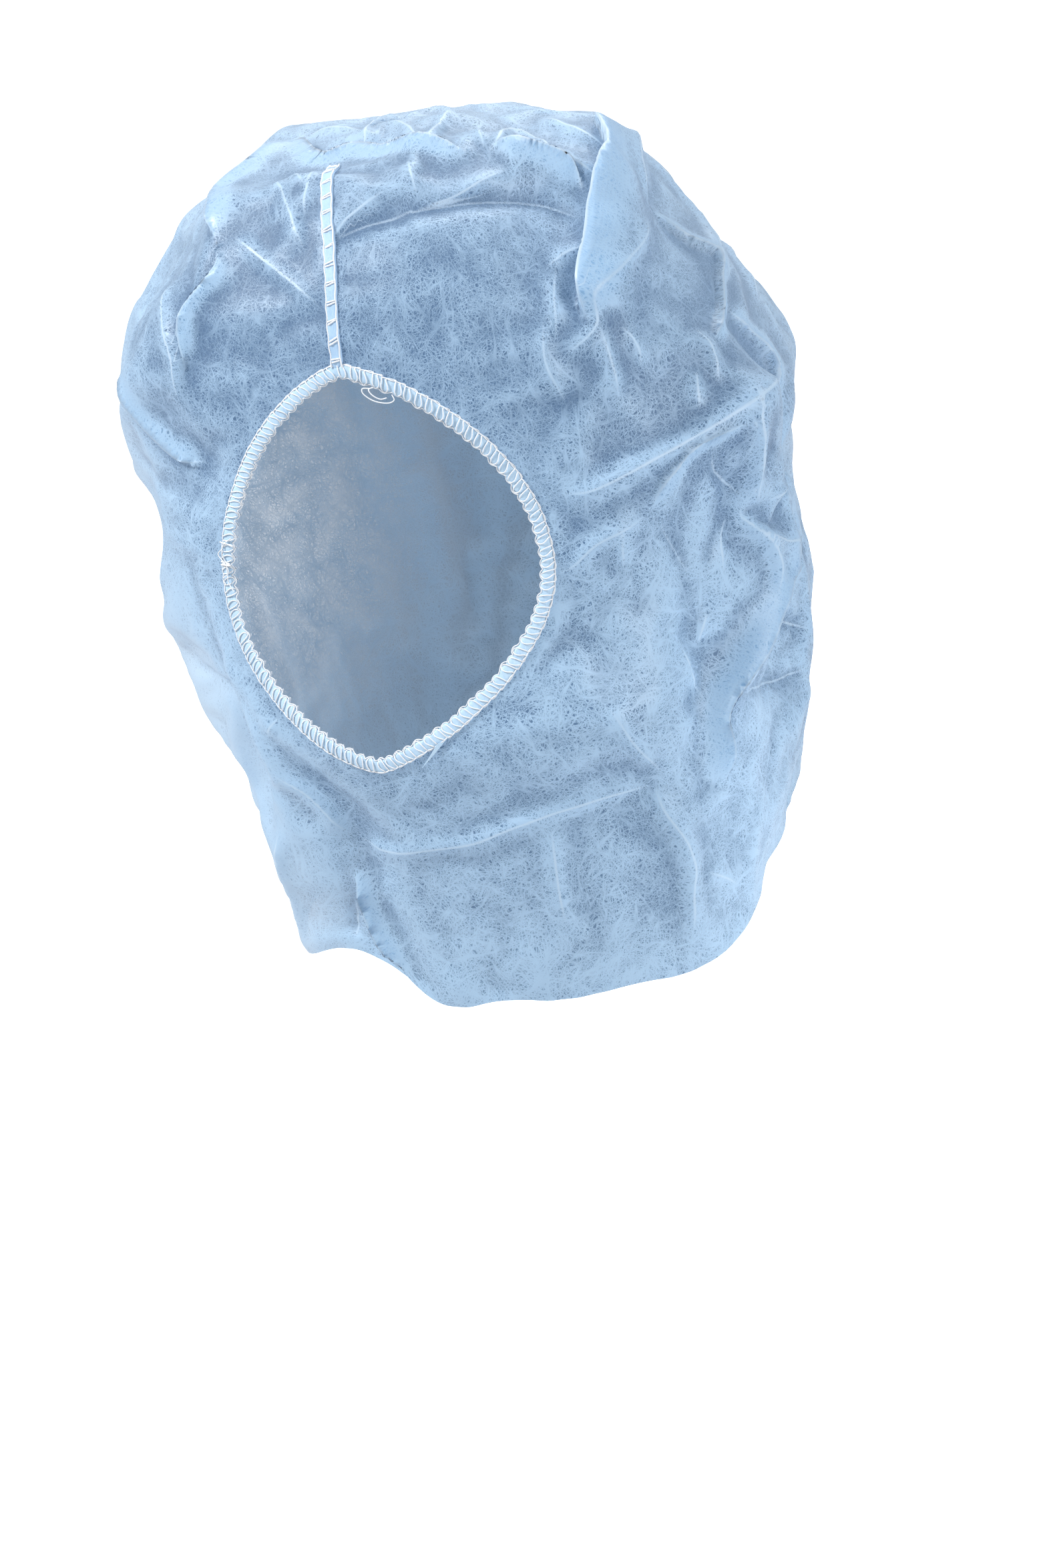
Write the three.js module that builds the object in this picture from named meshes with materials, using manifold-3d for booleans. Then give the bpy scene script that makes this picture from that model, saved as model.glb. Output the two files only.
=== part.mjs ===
// Non-woven balaclava: a light disposable hood in the shape that it takes on a head, with an
// overlocked opening for the eyes and a stitched seam from the opening up to the crown.
// Millimetres. +Z runs up the head, the wearer looks along -Y and +X is the wearer's left.
// The origin is the seat, where the top of the head bears on the inside of the crown.
// Angles are in degrees round the head, from the face (0) by the wearer's left (90) to the nape (180).

import * as THREE from "three";
import { mergeVertices } from "three/addons/utils/BufferGeometryUtils.js";
import Module from "manifold-3d";

const wasm = await Module();
wasm.setup();

// Cloth
const clothWall = 1.2;
const pieceGap = 0.3; // clear space between neighbouring pieces
const stepsAround = 76; // facets round the hood
const stepsPerSection = 2; // facets from one section to the next
const cornerPower = 2.3; // 2 makes the sections ellipses, more makes them squarer

// Level sections through the hood, from the crown down. Reaches are from the seat's axis,
// left and right being the wearer's.
const crownTop = { forward: 4, height: 5 };
const sections = [
  { height: 4, left: 26, right: 30, front: 38, back: 16 },
  { height: 0, left: 42, right: 46, front: 56, back: 35 },
  { height: -8, left: 57, right: 60, front: 68, back: 53 },
  { height: -22, left: 71, right: 75, front: 78, back: 72 },
  { height: -39, left: 83, right: 92, front: 85, back: 87 },
  { height: -62, left: 95, right: 102, front: 89, back: 98 },
  { height: -89, left: 101, right: 103, front: 92, back: 104 },
  { height: -114, left: 98, right: 98, front: 96, back: 105 },
  { height: -138, left: 95, right: 94, front: 102, back: 101 },
  { height: -160, left: 94, right: 88, front: 108, back: 98 },
  { height: -182, left: 92, right: 82, front: 104, back: 95 },
  { height: -212, left: 87, right: 76, front: 99, back: 92 },
  { height: -240, left: 80, right: 72, front: 95, back: 88 },
];

// The hem's height round the head, at equal angles from the chin.
const hem = [
  { angle: 0, height: -244 },
  { angle: 45, height: -252 },
  { angle: 90, height: -232 },
  { angle: 135, height: -220 },
  { angle: 180, height: -216 },
  { angle: 225, height: -224 },
  { angle: 270, height: -236 },
  { angle: 315, height: -230 },
];
const hemReach = 60; // height over which the sections follow the hem's rise and fall

// The flat bag's two top corners stand out from the crown.
const corners = [
  { angle: 264, height: 1, reach: 8, spread: 17 },
  { angle: 98, height: -9, reach: 8, spread: 18 },
];

// Folds, each a line on the cloth through three places given by angle and height.
// rise is outwards, or inwards below 0, and width is the reach of its flanks on each side.
const folds = [
  { name: "crown seam, left half", a0: 264, h0: -4, a1: 300, h1: 2, a2: 350, h2: 3, rise: 3, width: 9 },
  { name: "crown seam, right half", a0: 350, h0: 3, a1: 50, h1: 0, a2: 78, h2: -42, rise: 3, width: 9 },
  { name: "dip behind the crown seam", a0: 290, h0: 4, a1: 0, h1: 5, a2: 70, h2: 2, rise: -3, width: 14 },
  { name: "big pleat below the left corner", a0: 98, h0: -8, a1: 70, h1: -22, a2: 46, h2: -50, rise: 7, width: 13 },
  { name: "hollow in front of the pleat", a0: 62, h0: -14, a1: 50, h1: -24, a2: 38, h2: -44, rise: -4, width: 12 },
  { name: "hollow behind the pleat", a0: 96, h0: -24, a1: 82, h1: -34, a2: 66, h2: -56, rise: -4, width: 13 },
  { name: "brow arc", a0: 358, h0: -12, a1: 24, h1: -7, a2: 60, h2: -20, rise: -3, width: 9 },
  { name: "right temple ridge", a0: 318, h0: -2, a1: 328, h1: -12, a2: 322, h2: -34, rise: 3.5, width: 10 },
  { name: "right brow diagonal", a0: 330, h0: -10, a1: 343, h1: -18, a2: 356, h2: -28, rise: -2, width: 7 },
  { name: "scoop beside the opening", a0: 290, h0: -40, a1: 316, h1: -70, a2: 336, h2: -74, rise: -5, width: 13 },
  { name: "left cheek ridge, front", a0: 31, h0: -116, a1: 40, h1: -108, a2: 57, h2: -97, rise: 3, width: 9 },
  { name: "left cheek ridge, back", a0: 57, h0: -97, a1: 70, h1: -91, a2: 84, h2: -84, rise: 5, width: 11 },
  { name: "crumple over the left ear", a0: 78, h0: -60, a1: 86, h1: -84, a2: 80, h2: -106, rise: -4, width: 9 },
  { name: "left tuck", a0: 76, h0: -108, a1: 96, h1: -116, a2: 122, h2: -112, rise: -5, width: 11 },
  { name: "edge of the back drape", a0: 94, h0: -128, a1: 72, h1: -154, a2: 57, h2: -186, rise: 5, width: 10 },
  { name: "hollow behind that edge", a0: 100, h0: -146, a1: 82, h1: -168, a2: 70, h2: -196, rise: -4, width: 12 },
  { name: "left jaw fold", a0: 32, h0: -154, a1: 41, h1: -182, a2: 44, h2: -236, rise: 4, width: 10 },
  { name: "chin crease, right", a0: 340, h0: -178, a1: 352, h1: -190, a2: 12, h2: -188, rise: -3, width: 9 },
  { name: "chin crease, left", a0: 12, h0: -188, a1: 30, h1: -183, a2: 56, h2: -184, rise: -3, width: 9 },
  { name: "right jaw fold, upper", a0: 334, h0: -154, a1: 341, h1: -170, a2: 347, h2: -188, rise: -5, width: 10 },
  { name: "right jaw fold, lower", a0: 347, h0: -188, a1: 344, h1: -208, a2: 349, h2: -234, rise: -6, width: 11 },
  { name: "right lobe", a0: 300, h0: -150, a1: 322, h1: -190, a2: 328, h2: -228, rise: 5, width: 16 },
  { name: "right tuck", a0: 238, h0: -106, a1: 268, h1: -104, a2: 300, h2: -110, rise: -5, width: 10 },
  { name: "nape fold, left", a0: 150, h0: -60, a1: 158, h1: -130, a2: 152, h2: -206, rise: -5, width: 15 },
  { name: "nape fold, middle", a0: 186, h0: -96, a1: 180, h1: -150, a2: 184, h2: -212, rise: 4, width: 14 },
  { name: "nape fold, right", a0: 214, h0: -50, a1: 206, h1: -120, a2: 212, h2: -210, rise: -5, width: 15 },
];
const foldSteps = 8; // straight stretches in each fold's line
const foldSharpness = 1.6; // 1 gives straight flanks, more hollows them

// Face opening, along the middle of its stitched edge
const openingTop = -48;
const openingWidest = -112;
const openingBottom = -163;
const openingWidth = 101;
const upperPoint = 1.45; // above 1, the top comes to a point
const lowerPoint = 1.6; // and the bottom
const bottomLean = -7; // how far the bottom stands to the wearer's right
const bottomRise = 4; // how late the sides start to lean towards it
const topLean = -2;
const topRise = 8;
const edgeWidth = 5.4;
const edgeThickness = 2;
const edgeSteps = 60;

// Centre-front seam, from its foot at the face opening to its head at the crown seam
const seamLine = { a0: 358.8, h0: -47, a1: 359, h1: -22, a2: 350, h2: 1 };
const seamWidth = 4.3;
const seamThickness = 2;
const seamSteps = 14;

const bandSides = 8; // facets round the edge and the seam
const cutterDepth = 9; // how far a slot's cutter reaches through the cloth
const cutterReach = 200; // how far the opening's cutter reaches in front of the face

const radians = (degrees) => (degrees * Math.PI) / 180;

// Catmull-Rom value between b and c, t from 0 to 1.
function smoothBetween(a, b, c, d, t) {
  return b + (t * (c - a + t * (2 * a - 5 * b + 4 * c - d + t * (3 * (b - c) + d - a)))) / 2;
}

// A named column of the sections at a place s, counted in sections from the first.
function sectionValue(column, s) {
  const last = sections.length - 1;
  const i = Math.min(Math.max(Math.floor(s), 0), last - 1);
  const at = (n) => sections[Math.min(Math.max(n, 0), last)][column];
  return smoothBetween(at(i - 1), at(i), at(i + 1), at(i + 2), s - i);
}

// The place s of a height.
function placeOfHeight(height) {
  let [high, low] = [0, sections.length - 1];
  for (let halving = 0; halving < 30; halving++) {
    const middle = (high + low) / 2;
    if (sectionValue("height", middle) > height) high = middle;
    else low = middle;
  }
  return high;
}

// The hem's height at an angle.
function hemHeight(angle) {
  const turn = THREE.MathUtils.euclideanModulo(angle, 360) / (360 / hem.length);
  const i = Math.floor(turn);
  const at = (n) => hem[(n + hem.length) % hem.length].height;
  return smoothBetween(at(i - 1), at(i), at(i + 1), at(i + 2), turn - i);
}

// The smooth hood without its folds, at an angle and a place s.
function smoothPoint(angle, s) {
  const sideways = Math.sin(radians(angle));
  const forwards = Math.cos(radians(angle));
  const side = sectionValue(sideways > 0 ? "left" : "right", s);
  const reach = sectionValue(forwards > 0 ? "front" : "back", s);
  const power = Math.abs(sideways / side) ** cornerPower + Math.abs(forwards / reach) ** cornerPower;
  const radius = power ** (-1 / cornerPower);
  const level = sectionValue("height", s);
  const lowest = sections[sections.length - 1].height;
  const follow = THREE.MathUtils.smoothstep(-level, -lowest - hemReach, -lowest);
  const height = level + follow * (hemHeight(angle) - lowest);
  return new THREE.Vector3(radius * sideways, -radius * forwards, height);
}

// The outward normal of a surface given as a function of angle and place.
function normalOf(surface, angle, s) {
  const round = surface(angle + 0.5, s).sub(surface(angle - 0.5, s));
  const down = surface(angle, s + 0.05).sub(surface(angle, s - 0.05));
  return down.cross(round).normalize();
}

// A line on the smooth hood through three places, as points.
function lineOnHood({ a0, h0, a1, h1, a2, h2 }, steps) {
  const near = (angle) => angle - 360 * Math.round((angle - a0) / 360); // the short way round from a0
  const at = (angle, height) => new THREE.Vector2(angle, placeOfHeight(height));
  const middle = at(near(a1), h1);
  const end = at(a2 - 360 * Math.round((a2 - near(a1)) / 360), h2);
  return new THREE.SplineCurve([at(a0, h0), middle, end]).getPoints(steps);
}

const foldLines = folds.map((fold) => ({
  ...fold,
  points: lineOnHood(fold, foldSteps).map((p) => smoothPoint(p.x, p.y)),
}));
const cornerPoints = corners.map((corner) => ({
  ...corner,
  point: smoothPoint(corner.angle, placeOfHeight(corner.height)),
}));

// How far the folds and the corners lift a point of the smooth hood.
function liftAt(point) {
  const nearest = new THREE.Vector3();
  const stretch = new THREE.Line3();
  let lift = 0;
  for (const { points, rise, width } of foldLines) {
    let [distance, along] = [Infinity, 0];
    for (let i = 0; i < foldSteps; i++) {
      stretch.set(points[i], points[i + 1]);
      const part = stretch.closestPointToPointParameter(point, true);
      stretch.at(part, nearest);
      const apart = nearest.distanceTo(point);
      if (apart < distance) [distance, along] = [apart, (i + part) / foldSteps];
    }
    const fade = Math.sin(Math.PI * THREE.MathUtils.lerp(0.1, 0.9, along));
    lift += rise * fade * Math.max(0, 1 - distance / (2 * width)) ** foldSharpness;
  }
  for (const corner of cornerPoints)
    lift += corner.reach * Math.max(0, 1 - corner.point.distanceTo(point) / (2 * corner.spread)) ** 2;
  return lift;
}

// The hood's outer face, folds and all.
function hoodPoint(angle, s) {
  const point = smoothPoint(angle, s);
  return point.addScaledVector(normalOf(smoothPoint, angle, s), liftAt(point));
}

// The outer face's point and normal in front of a place x across and z up.
function faceAt(x, z) {
  let s = placeOfHeight(z);
  let angle = 0;
  for (let round = 0; round < 8; round++) {
    const point = hoodPoint(angle, s);
    angle += THREE.MathUtils.radToDeg((x - point.x) / Math.hypot(point.x, point.y));
    s = placeOfHeight(sectionValue("height", s) + z - point.z);
  }
  return { point: hoodPoint(angle, s), normal: normalOf(smoothPoint, angle, s) };
}

// A closed body from loops of points joined in turn. Its ends are closed by a fan to a tip each, or
// joined to each other where no tips are given.
function loft(loops, tips) {
  const count = loops[0].length;
  const points = loops.flat();
  const triangles = [];
  for (let row = 0; row < loops.length - (tips ? 1 : 0); row++)
    for (let step = 0; step < count; step++) {
      const next = (step + 1) % count;
      const [a, b] = [row * count + step, row * count + next];
      const below = ((row + 1) % loops.length) * count;
      triangles.push(a, below + step, below + next, a, below + next, b);
    }
  if (tips) {
    const lastLoop = (loops.length - 1) * count;
    points.push(...tips);
    for (let step = 0; step < count; step++) {
      const next = (step + 1) % count;
      triangles.push(points.length - 2, step, next, points.length - 1, lastLoop + next, lastLoop + step);
    }
  }
  const geometry = new THREE.BufferGeometry().setFromPoints(points);
  geometry.setIndex(triangles);
  return solidOf(geometry);
}

// A manifold-3d solid from a closed geometry, and back.
function solidOf(geometry) {
  const bare = geometry.clone();
  bare.deleteAttribute("normal");
  bare.deleteAttribute("uv");
  const merged = mergeVertices(bare, 1e-4);
  const vertProperties = merged.attributes.position.array;
  return new wasm.Manifold(new wasm.Mesh({ numProp: 3, vertProperties, triVerts: merged.index.array }));
}

function geometryOf(solid) {
  const mesh = solid.getMesh();
  const geometry = new THREE.BufferGeometry();
  geometry.setAttribute("position", new THREE.BufferAttribute(mesh.vertProperties, 3));
  geometry.setIndex(new THREE.BufferAttribute(mesh.triVerts, 1));
  geometry.computeVertexNormals();
  return geometry;
}

// The hood's shell, down its outer face and back up its inner one.
function hoodShell() {
  const rows = (sections.length - 1) * stepsPerSection;
  const loopAt = (row, depth) =>
    Array.from({ length: stepsAround }, (_, step) => {
      const [angle, s] = [(360 * step) / stepsAround, row / stepsPerSection];
      return hoodPoint(angle, s).addScaledVector(normalOf(hoodPoint, angle, s), -depth);
    });
  const downwards = Array.from({ length: rows + 1 }, (_, row) => row);
  const outer = downwards.map((row) => loopAt(row, 0));
  const inner = downwards.map((row) => loopAt(row, clothWall)).reverse();
  const tipAt = (depth) => new THREE.Vector3(0, crownTop.forward, crownTop.height - depth);
  return loft([...outer, ...inner], [tipAt(0), tipAt(clothWall)]);
}

// Sections of a band, as steps across it and out of the cloth: rounded for a piece, square for its slot.
function roundSection(width, thickness) {
  return Array.from({ length: bandSides }, (_, side) => {
    const turn = (2 * Math.PI * (side + 0.5)) / bandSides;
    return [(width / 2) * Math.cos(turn), (thickness / 2) * Math.sin(turn)];
  });
}

function slotSection(width) {
  const [side, reach] = [width / 2 + pieceGap, cutterDepth / 2];
  return [[side, reach], [-side, reach], [-side, -reach], [side, -reach]];
}

// Loops of a section carried along places on the hood, each with a point, the cloth's normal there
// and the direction in which the band runs.
function bandLoops(places, section) {
  return places.map(({ point, normal, along }) => {
    const across = along.clone().cross(normal).normalize();
    const at = ([aside, out]) => point.clone().addScaledVector(across, aside).addScaledVector(normal, out);
    return section.map(at);
  });
}

// A place's middle is half a wall inside the outer face.
const sunk = ({ point, normal }) => point.clone().addScaledVector(normal, -clothWall / 2);

const openingPlaces = Array.from({ length: edgeSteps }, (_, step) => {
  const turn = (2 * Math.PI * step) / edgeSteps;
  const upper = Math.cos(turn) > 0;
  const across = Math.sign(Math.sin(turn)) * Math.abs(Math.sin(turn)) ** (upper ? upperPoint : lowerPoint);
  const tall = upper ? openingTop - openingWidest : openingWidest - openingBottom;
  const height = openingWidest + tall * Math.cos(turn);
  const drop = (openingTop - height) / (openingTop - openingBottom);
  const lean = bottomLean * drop ** bottomRise + topLean * (1 - drop) ** topRise;
  const place = faceAt((openingWidth / 2) * across + lean, height);
  return { point: sunk(place), normal: place.normal };
});
openingPlaces.forEach((place, i) => {
  const ahead = openingPlaces[(i + 1) % edgeSteps].point;
  const behind = openingPlaces[(i + edgeSteps - 1) % edgeSteps].point;
  place.along = ahead.clone().sub(behind).normalize();
});

const seamPlaces = lineOnHood(seamLine, seamSteps).map((p) => {
  const place = { point: hoodPoint(p.x, p.y), normal: normalOf(smoothPoint, p.x, p.y) };
  return { point: sunk(place), normal: place.normal };
});
seamPlaces.forEach((place, i) => {
  const ahead = seamPlaces[Math.min(i + 1, seamSteps)].point;
  place.along = ahead.clone().sub(seamPlaces[Math.max(i - 1, 0)].point).normalize();
});

function ring(section) {
  return loft(bandLoops(openingPlaces, section));
}

function seam(section) {
  return loft(bandLoops(seamPlaces, section), [seamPlaces[0].point, seamPlaces[seamSteps].point]);
}

// The space in front of the face inside the opening's middle line.
function openingCutter() {
  const outline = (y) => openingPlaces.map(({ point }) => new THREE.Vector3(point.x, y, point.z));
  const centreAt = (y) => new THREE.Vector3(0, y, (openingTop + openingBottom) / 2);
  return loft([outline(0), outline(-cutterReach)], [centreAt(0), centreAt(-cutterReach)]);
}

const faceEdge = ring(roundSection(edgeWidth, edgeThickness));
const edgeSlot = ring(slotSection(edgeWidth));
const frontSeam = seam(roundSection(seamWidth, seamThickness)).subtract(edgeSlot);
const hood = hoodShell()
  .subtract(openingCutter())
  .subtract(edgeSlot)
  .subtract(seam(slotSection(seamWidth)));

const group = new THREE.Group();
const addPiece = (name, solid, material) => {
  const mesh = new THREE.Mesh(geometryOf(solid), new THREE.MeshStandardMaterial(material));
  mesh.name = name;
  group.add(mesh);
};
addPiece("hood", hood, { color: 0xa5cbe6, roughness: 0.7, metalness: 0 });
addPiece("face_edge", faceEdge, { color: 0xdbe8f0, roughness: 0.75, metalness: 0 });
addPiece("front_seam", frontSeam, { color: 0xb9d6ea, roughness: 0.7, metalness: 0 });

export default group;
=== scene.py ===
import math

import bpy
import numpy as np
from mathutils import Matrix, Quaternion, Vector
from mathutils.bvhtree import BVHTree


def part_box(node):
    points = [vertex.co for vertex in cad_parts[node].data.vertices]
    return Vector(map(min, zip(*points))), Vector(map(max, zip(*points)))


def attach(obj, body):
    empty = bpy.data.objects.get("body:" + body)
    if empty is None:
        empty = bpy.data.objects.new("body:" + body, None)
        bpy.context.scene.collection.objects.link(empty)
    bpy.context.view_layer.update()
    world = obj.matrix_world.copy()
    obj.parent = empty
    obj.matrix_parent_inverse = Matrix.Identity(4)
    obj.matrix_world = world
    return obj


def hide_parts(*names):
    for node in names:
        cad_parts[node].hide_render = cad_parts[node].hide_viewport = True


# A non-woven hood as it sits on a head: one thin crumpled sheet, a serged face opening and a stitched
# seam up the forehead. Metres. Angles run round the head in degrees, from the face (0) by the wearer's
# left ear (90) to the nape (180).

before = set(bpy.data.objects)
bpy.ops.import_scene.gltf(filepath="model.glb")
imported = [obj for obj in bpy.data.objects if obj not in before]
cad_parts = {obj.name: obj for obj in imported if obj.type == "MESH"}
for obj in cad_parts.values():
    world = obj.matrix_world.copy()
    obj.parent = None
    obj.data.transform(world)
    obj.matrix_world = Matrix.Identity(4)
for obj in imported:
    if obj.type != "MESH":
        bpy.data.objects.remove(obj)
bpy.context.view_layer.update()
hoodLow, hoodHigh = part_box("hood")
edgeLow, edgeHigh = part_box("face_edge")
mm = 0.001
farAway = 1.0  # farther than anything on the hood
sheetMerge = 0.01 * mm  # vertices nearer than this become one
bandMerge = 0.002 * mm


# small tools
def pickOnly(obj):
    if bpy.context.object and bpy.context.object.mode != "OBJECT":
        bpy.ops.object.mode_set(mode="OBJECT")
    bpy.ops.object.select_all(action="DESELECT")
    obj.select_set(True)
    bpy.context.view_layer.objects.active = obj


def readPoints(obj):
    points = np.empty(len(obj.data.vertices) * 3)
    obj.data.vertices.foreach_get("co", points)
    return points.reshape(-1, 3)


def writePoints(obj, points):
    obj.data.vertices.foreach_set("co", np.ascontiguousarray(points, dtype=np.float64).ravel())
    obj.data.update()


def unit(vectors):
    return vectors / np.maximum(np.linalg.norm(vectors, axis=-1, keepdims=True), 1e-12)


def eased(share):
    return share * share * (3 - 2 * share)


def sewUp(obj, reach, outwards=False):
    # vertices that lie together become one, and the faces may be turned outwards
    pickOnly(obj)
    bpy.ops.object.mode_set(mode="EDIT")
    bpy.ops.mesh.select_all(action="SELECT")
    bpy.ops.mesh.remove_doubles(threshold=reach)
    if outwards:
        bpy.ops.mesh.normals_make_consistent(inside=False)
    bpy.ops.object.mode_set(mode="OBJECT")


def newGrid(name, across, down):
    # a flat grid with its corners at 1 and -1, ready to be laid
    bpy.ops.object.select_all(action="DESELECT")
    bpy.ops.mesh.primitive_grid_add(x_subdivisions=across, y_subdivisions=down, size=2)
    grid = bpy.context.object
    grid.name = name
    return grid, readPoints(grid)


def treeOf(*names):
    points, faces = [], []
    for name in names:
        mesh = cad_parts[name].data
        start = len(points)
        points += [v.co.copy() for v in mesh.vertices]
        faces += [[start + i for i in p.vertices] for p in mesh.polygons]
    return BVHTree.FromPolygons(points, faces)


shellTree = treeOf("hood", "face_edge", "front_seam")

# the sheet's form: a net of columns round the head and rows from the crown to the hem
hoodForm = {
    "columns": 384,
    "domeRows": 96,
    "sideRows": 126,
    "domeDepth": 66 * mm,  # from the top down to the middle of the dome's rays
    "hemSearch": (-190 * mm, -262 * mm),  # heights that every column's hem lies between
    "hemHalvings": 12,
    "hemInset": 0.4 * mm,  # the sheet ends this far above the shell's hem
    "reach": 0.3,  # rays start this far out
    "core": 0.02,  # and stop this far from the middle
    "fill": 700,  # passes that stretch the sheet over the face opening
    "blur": 7,  # passes that round off the facets of the shell underneath
}


def netRadii(form):
    columns, domeRows, sideRows = form["columns"], form["domeRows"], form["sideRows"]
    domeZ = hoodHigh.z - form["domeDepth"]
    reach = form["reach"]

    def radiusAt(origin, direction):
        hit = shellTree.ray_cast(origin + direction * reach, -direction, reach - form["core"])
        return math.nan if hit[0] is None else reach - hit[3]

    shape = (domeRows + sideRows + 1, columns)
    radii, origins, directions = np.empty(shape), np.empty(shape + (3,)), np.empty(shape + (3,))
    for column in range(columns):
        turn = 2 * math.pi * column / columns
        flat = Vector((math.sin(turn), -math.cos(turn), 0))
        inside, outside = form["hemSearch"]
        for halving in range(form["hemHalvings"]):
            middle = (inside + outside) / 2
            if math.isnan(radiusAt(Vector((0, 0, middle)), flat)):
                outside = middle
            else:
                inside = middle
        for row in range(shape[0]):
            lean = math.pi / 2 * min(row / domeRows, 1)
            drop = max(row - domeRows, 0) / sideRows
            origin = Vector((0, 0, domeZ + (inside + form["hemInset"] - domeZ) * drop))
            direction = flat * math.sin(lean) + Vector((0, 0, math.cos(lean)))
            radii[row, column] = radiusAt(origin, direction)
            origins[row, column] = origin
            directions[row, column] = direction
    return radii, origins, directions


def layNet(form):
    radii, origins, directions = netRadii(form)
    missed = np.isnan(radii)
    radii[missed] = np.nanmean(radii[:, 0])
    for sweep in range(form["fill"]):
        across = np.roll(radii, 1, 1) + np.roll(radii, -1, 1)
        padded = np.vstack([radii[:1], radii, radii[-1:]])
        radii[missed] = ((across + padded[:-2] + padded[2:]) / 4)[missed]
    for sweep in range(form["blur"]):
        radii = (np.roll(radii, 1, 1) + 2 * radii + np.roll(radii, -1, 1)) / 4
        padded = np.vstack([radii[:1], radii, 2 * radii[-1:] - radii[-2:-1]])
        radii = (padded[:-2] + 2 * radii + padded[2:]) / 4
        radii[0] = radii[0].mean()
    return origins + directions * radii[..., None]


net = layNet(hoodForm)
rowGaps = np.linalg.norm(np.diff(net, axis=0), axis=2)
arcs = np.vstack([np.zeros((1, net.shape[1])), np.cumsum(rowGaps, axis=0)])
print(f"net laid, {arcs[-1].min():.4f} to {arcs[-1].max():.4f} from the crown to the hem")


def treeOfNet(grid):
    rows, columns = grid.shape[:2]
    quads = []
    for row in range(rows - 1):
        for column in range(columns):
            here, after = row * columns + column, row * columns + (column + 1) % columns
            quads.append((here, here + columns, after + columns, after))
    return BVHTree.FromPolygons([Vector(p) for p in grid.reshape(-1, 3)], quads)


netTree = treeOfNet(net)


# folds and creases: each runs through places given as (angle, arc from the crown in mm); rise and width
# are in mm, a lap throws the cloth on the left of the line over it, pale is how strong the painted
# highlight on its crest is, and for a lap also how far the cloth is doubled
creaseColumns = ("along", "rise", "width", "lap", "pale")
crownCreases = [
    (((61, 80), (61, 69), (56, 60), (51, 55), (45, 55)), 3.25, 7, 2.5, 0.9),
    (
        ((41, 53.5), (37, 50.5), (30, 46), (8, 36), (-8, 31), (-26, 37), (-62, 33), (-84, 37)),
        3, 7, 2.2, 0.9,
    ),
    (((-138, 10), (-9, 22), (-7, 31)), 2.3, 5, 0, 0.95),
    (((-17, 7), (25, 27), (27, 43)), 2.01, 5, 0, 0.67),
    (((-90, 37), (-74, 21), (-25, 15)), 2.15, 5, 0, 0.67),
    (((45, 54), (52, 52), (66, 44), (69, 47), (65, 56), (60, 68)), 2.59, 4, 0, 0.86),
    (((60, 31), (52, 42), (45, 54)), 2.01, 4, 0, 0.48),
    (((28, 44), (49, 26), (88, 20)), 2.15, 5, 0, 0.67),
    (((65, 60), (64, 70), (66, 81)), 2.3, 5, 0, 0.86),
    (((87, 44), (78, 61), (76, 74)), 2.15, 5, 0, 0.67),
]
browCreases = [
    (((-1, 79), (6, 73), (14, 71), (22, 70), (38, 71), (47, 74), (53, 78), (57, 88)), -2.59, 6, 0, 0.39),
    (((14, 71), (29, 68), (38, 65), (48, 63)), 2.15, 4, 0, 0.76),
    (((-1, 79), (3, 71), (14, 62)), 1.57, 4, 0, 0.67),
    (((19, 49), (20, 58), (21, 66)), 1.29, 4, 0, 0.48),
    (((-29, 76), (-21, 80), (-13, 86), (-7, 92), (-3, 97)), 1.62, 4, 0, 0.62),
    (((-24, 50), (-17, 54), (-11, 59)), 1.72, 4, 0, 0.48),
    (((-13, 47), (-11, 56), (-8, 71)), 1.72, 4, 0, 0.67),
    (((-28, 53), (-14, 66), (-7, 81)), 1.86, 5, 0, 0.48),
    (((-64, 34), (-50, 49), (-48, 60), (-38, 69), (-31, 80)), 3.75, 8, 1.8, 0.8),
    (((-31, 80), (-29, 87), (-32, 95), (-35, 101), (-35, 107), (-34, 118)), 2.75, 6, 0.8, 0.6),
    (((-50, 91), (-44, 99), (-40, 106), (-37, 115), (-37, 128)), 2.25, 5, 0, 0.85),
    (((-68, 108), (-60, 121), (-51, 135), (-43, 144), (-35, 147)), 2.6, 9, 1.4, 0.55),
]
pleatCreases = [
    (((92, 62), (77, 73), (66, 81), (59, 91), (52, 102), (48, 110), (46, 117)), 5.62, 12, 4.5, 1),
    (((99, 71), (89, 78), (81, 87), (85, 93)), 2.88, 6, 0, 0.95),
    (((74, 95), (66, 101), (57, 107), (50, 112), (47, 119), (40, 124)), 1.72, 4, 0, 0.48),
    (((83, 94), (86, 107), (91, 118), (86, 124), (80, 131), (70, 138)), 3, 5, 1, 0.7),
    (((83, 131), (87, 140), (91, 149), (91, 157), (86, 164)), 2.75, 5, 1, 0.6),
    (((99, 79), (101, 90), (102, 98), (99, 110), (90, 120)), 2.88, 5, 0, 0.95),
    (((101, 114), (104, 123), (99, 135), (98, 141)), 2.88, 5, 0, 0.86),
    (((43, 97), (49, 96), (55, 97)), 1.75, 4, 0, 0.7),
    (((46, 97), (42, 108), (40, 119)), 1.57, 4, 0, 0.48),
    (((39, 111), (37, 124), (39, 138)), 1.72, 6, 0, 0.48),
    (((48, 119), (48, 129), (48, 142)), 1.86, 5, 0, 0.48),
    (((52, 121), (54, 128), (54, 136)), 1.44, 4, 0, 0.48),
    (((69, 130), (68, 140), (66, 149)), 2, 4, 0, 0.7),
    (((64, 141), (62, 147), (61, 153)), 1.72, 4, 0, 0.67),
]
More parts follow.
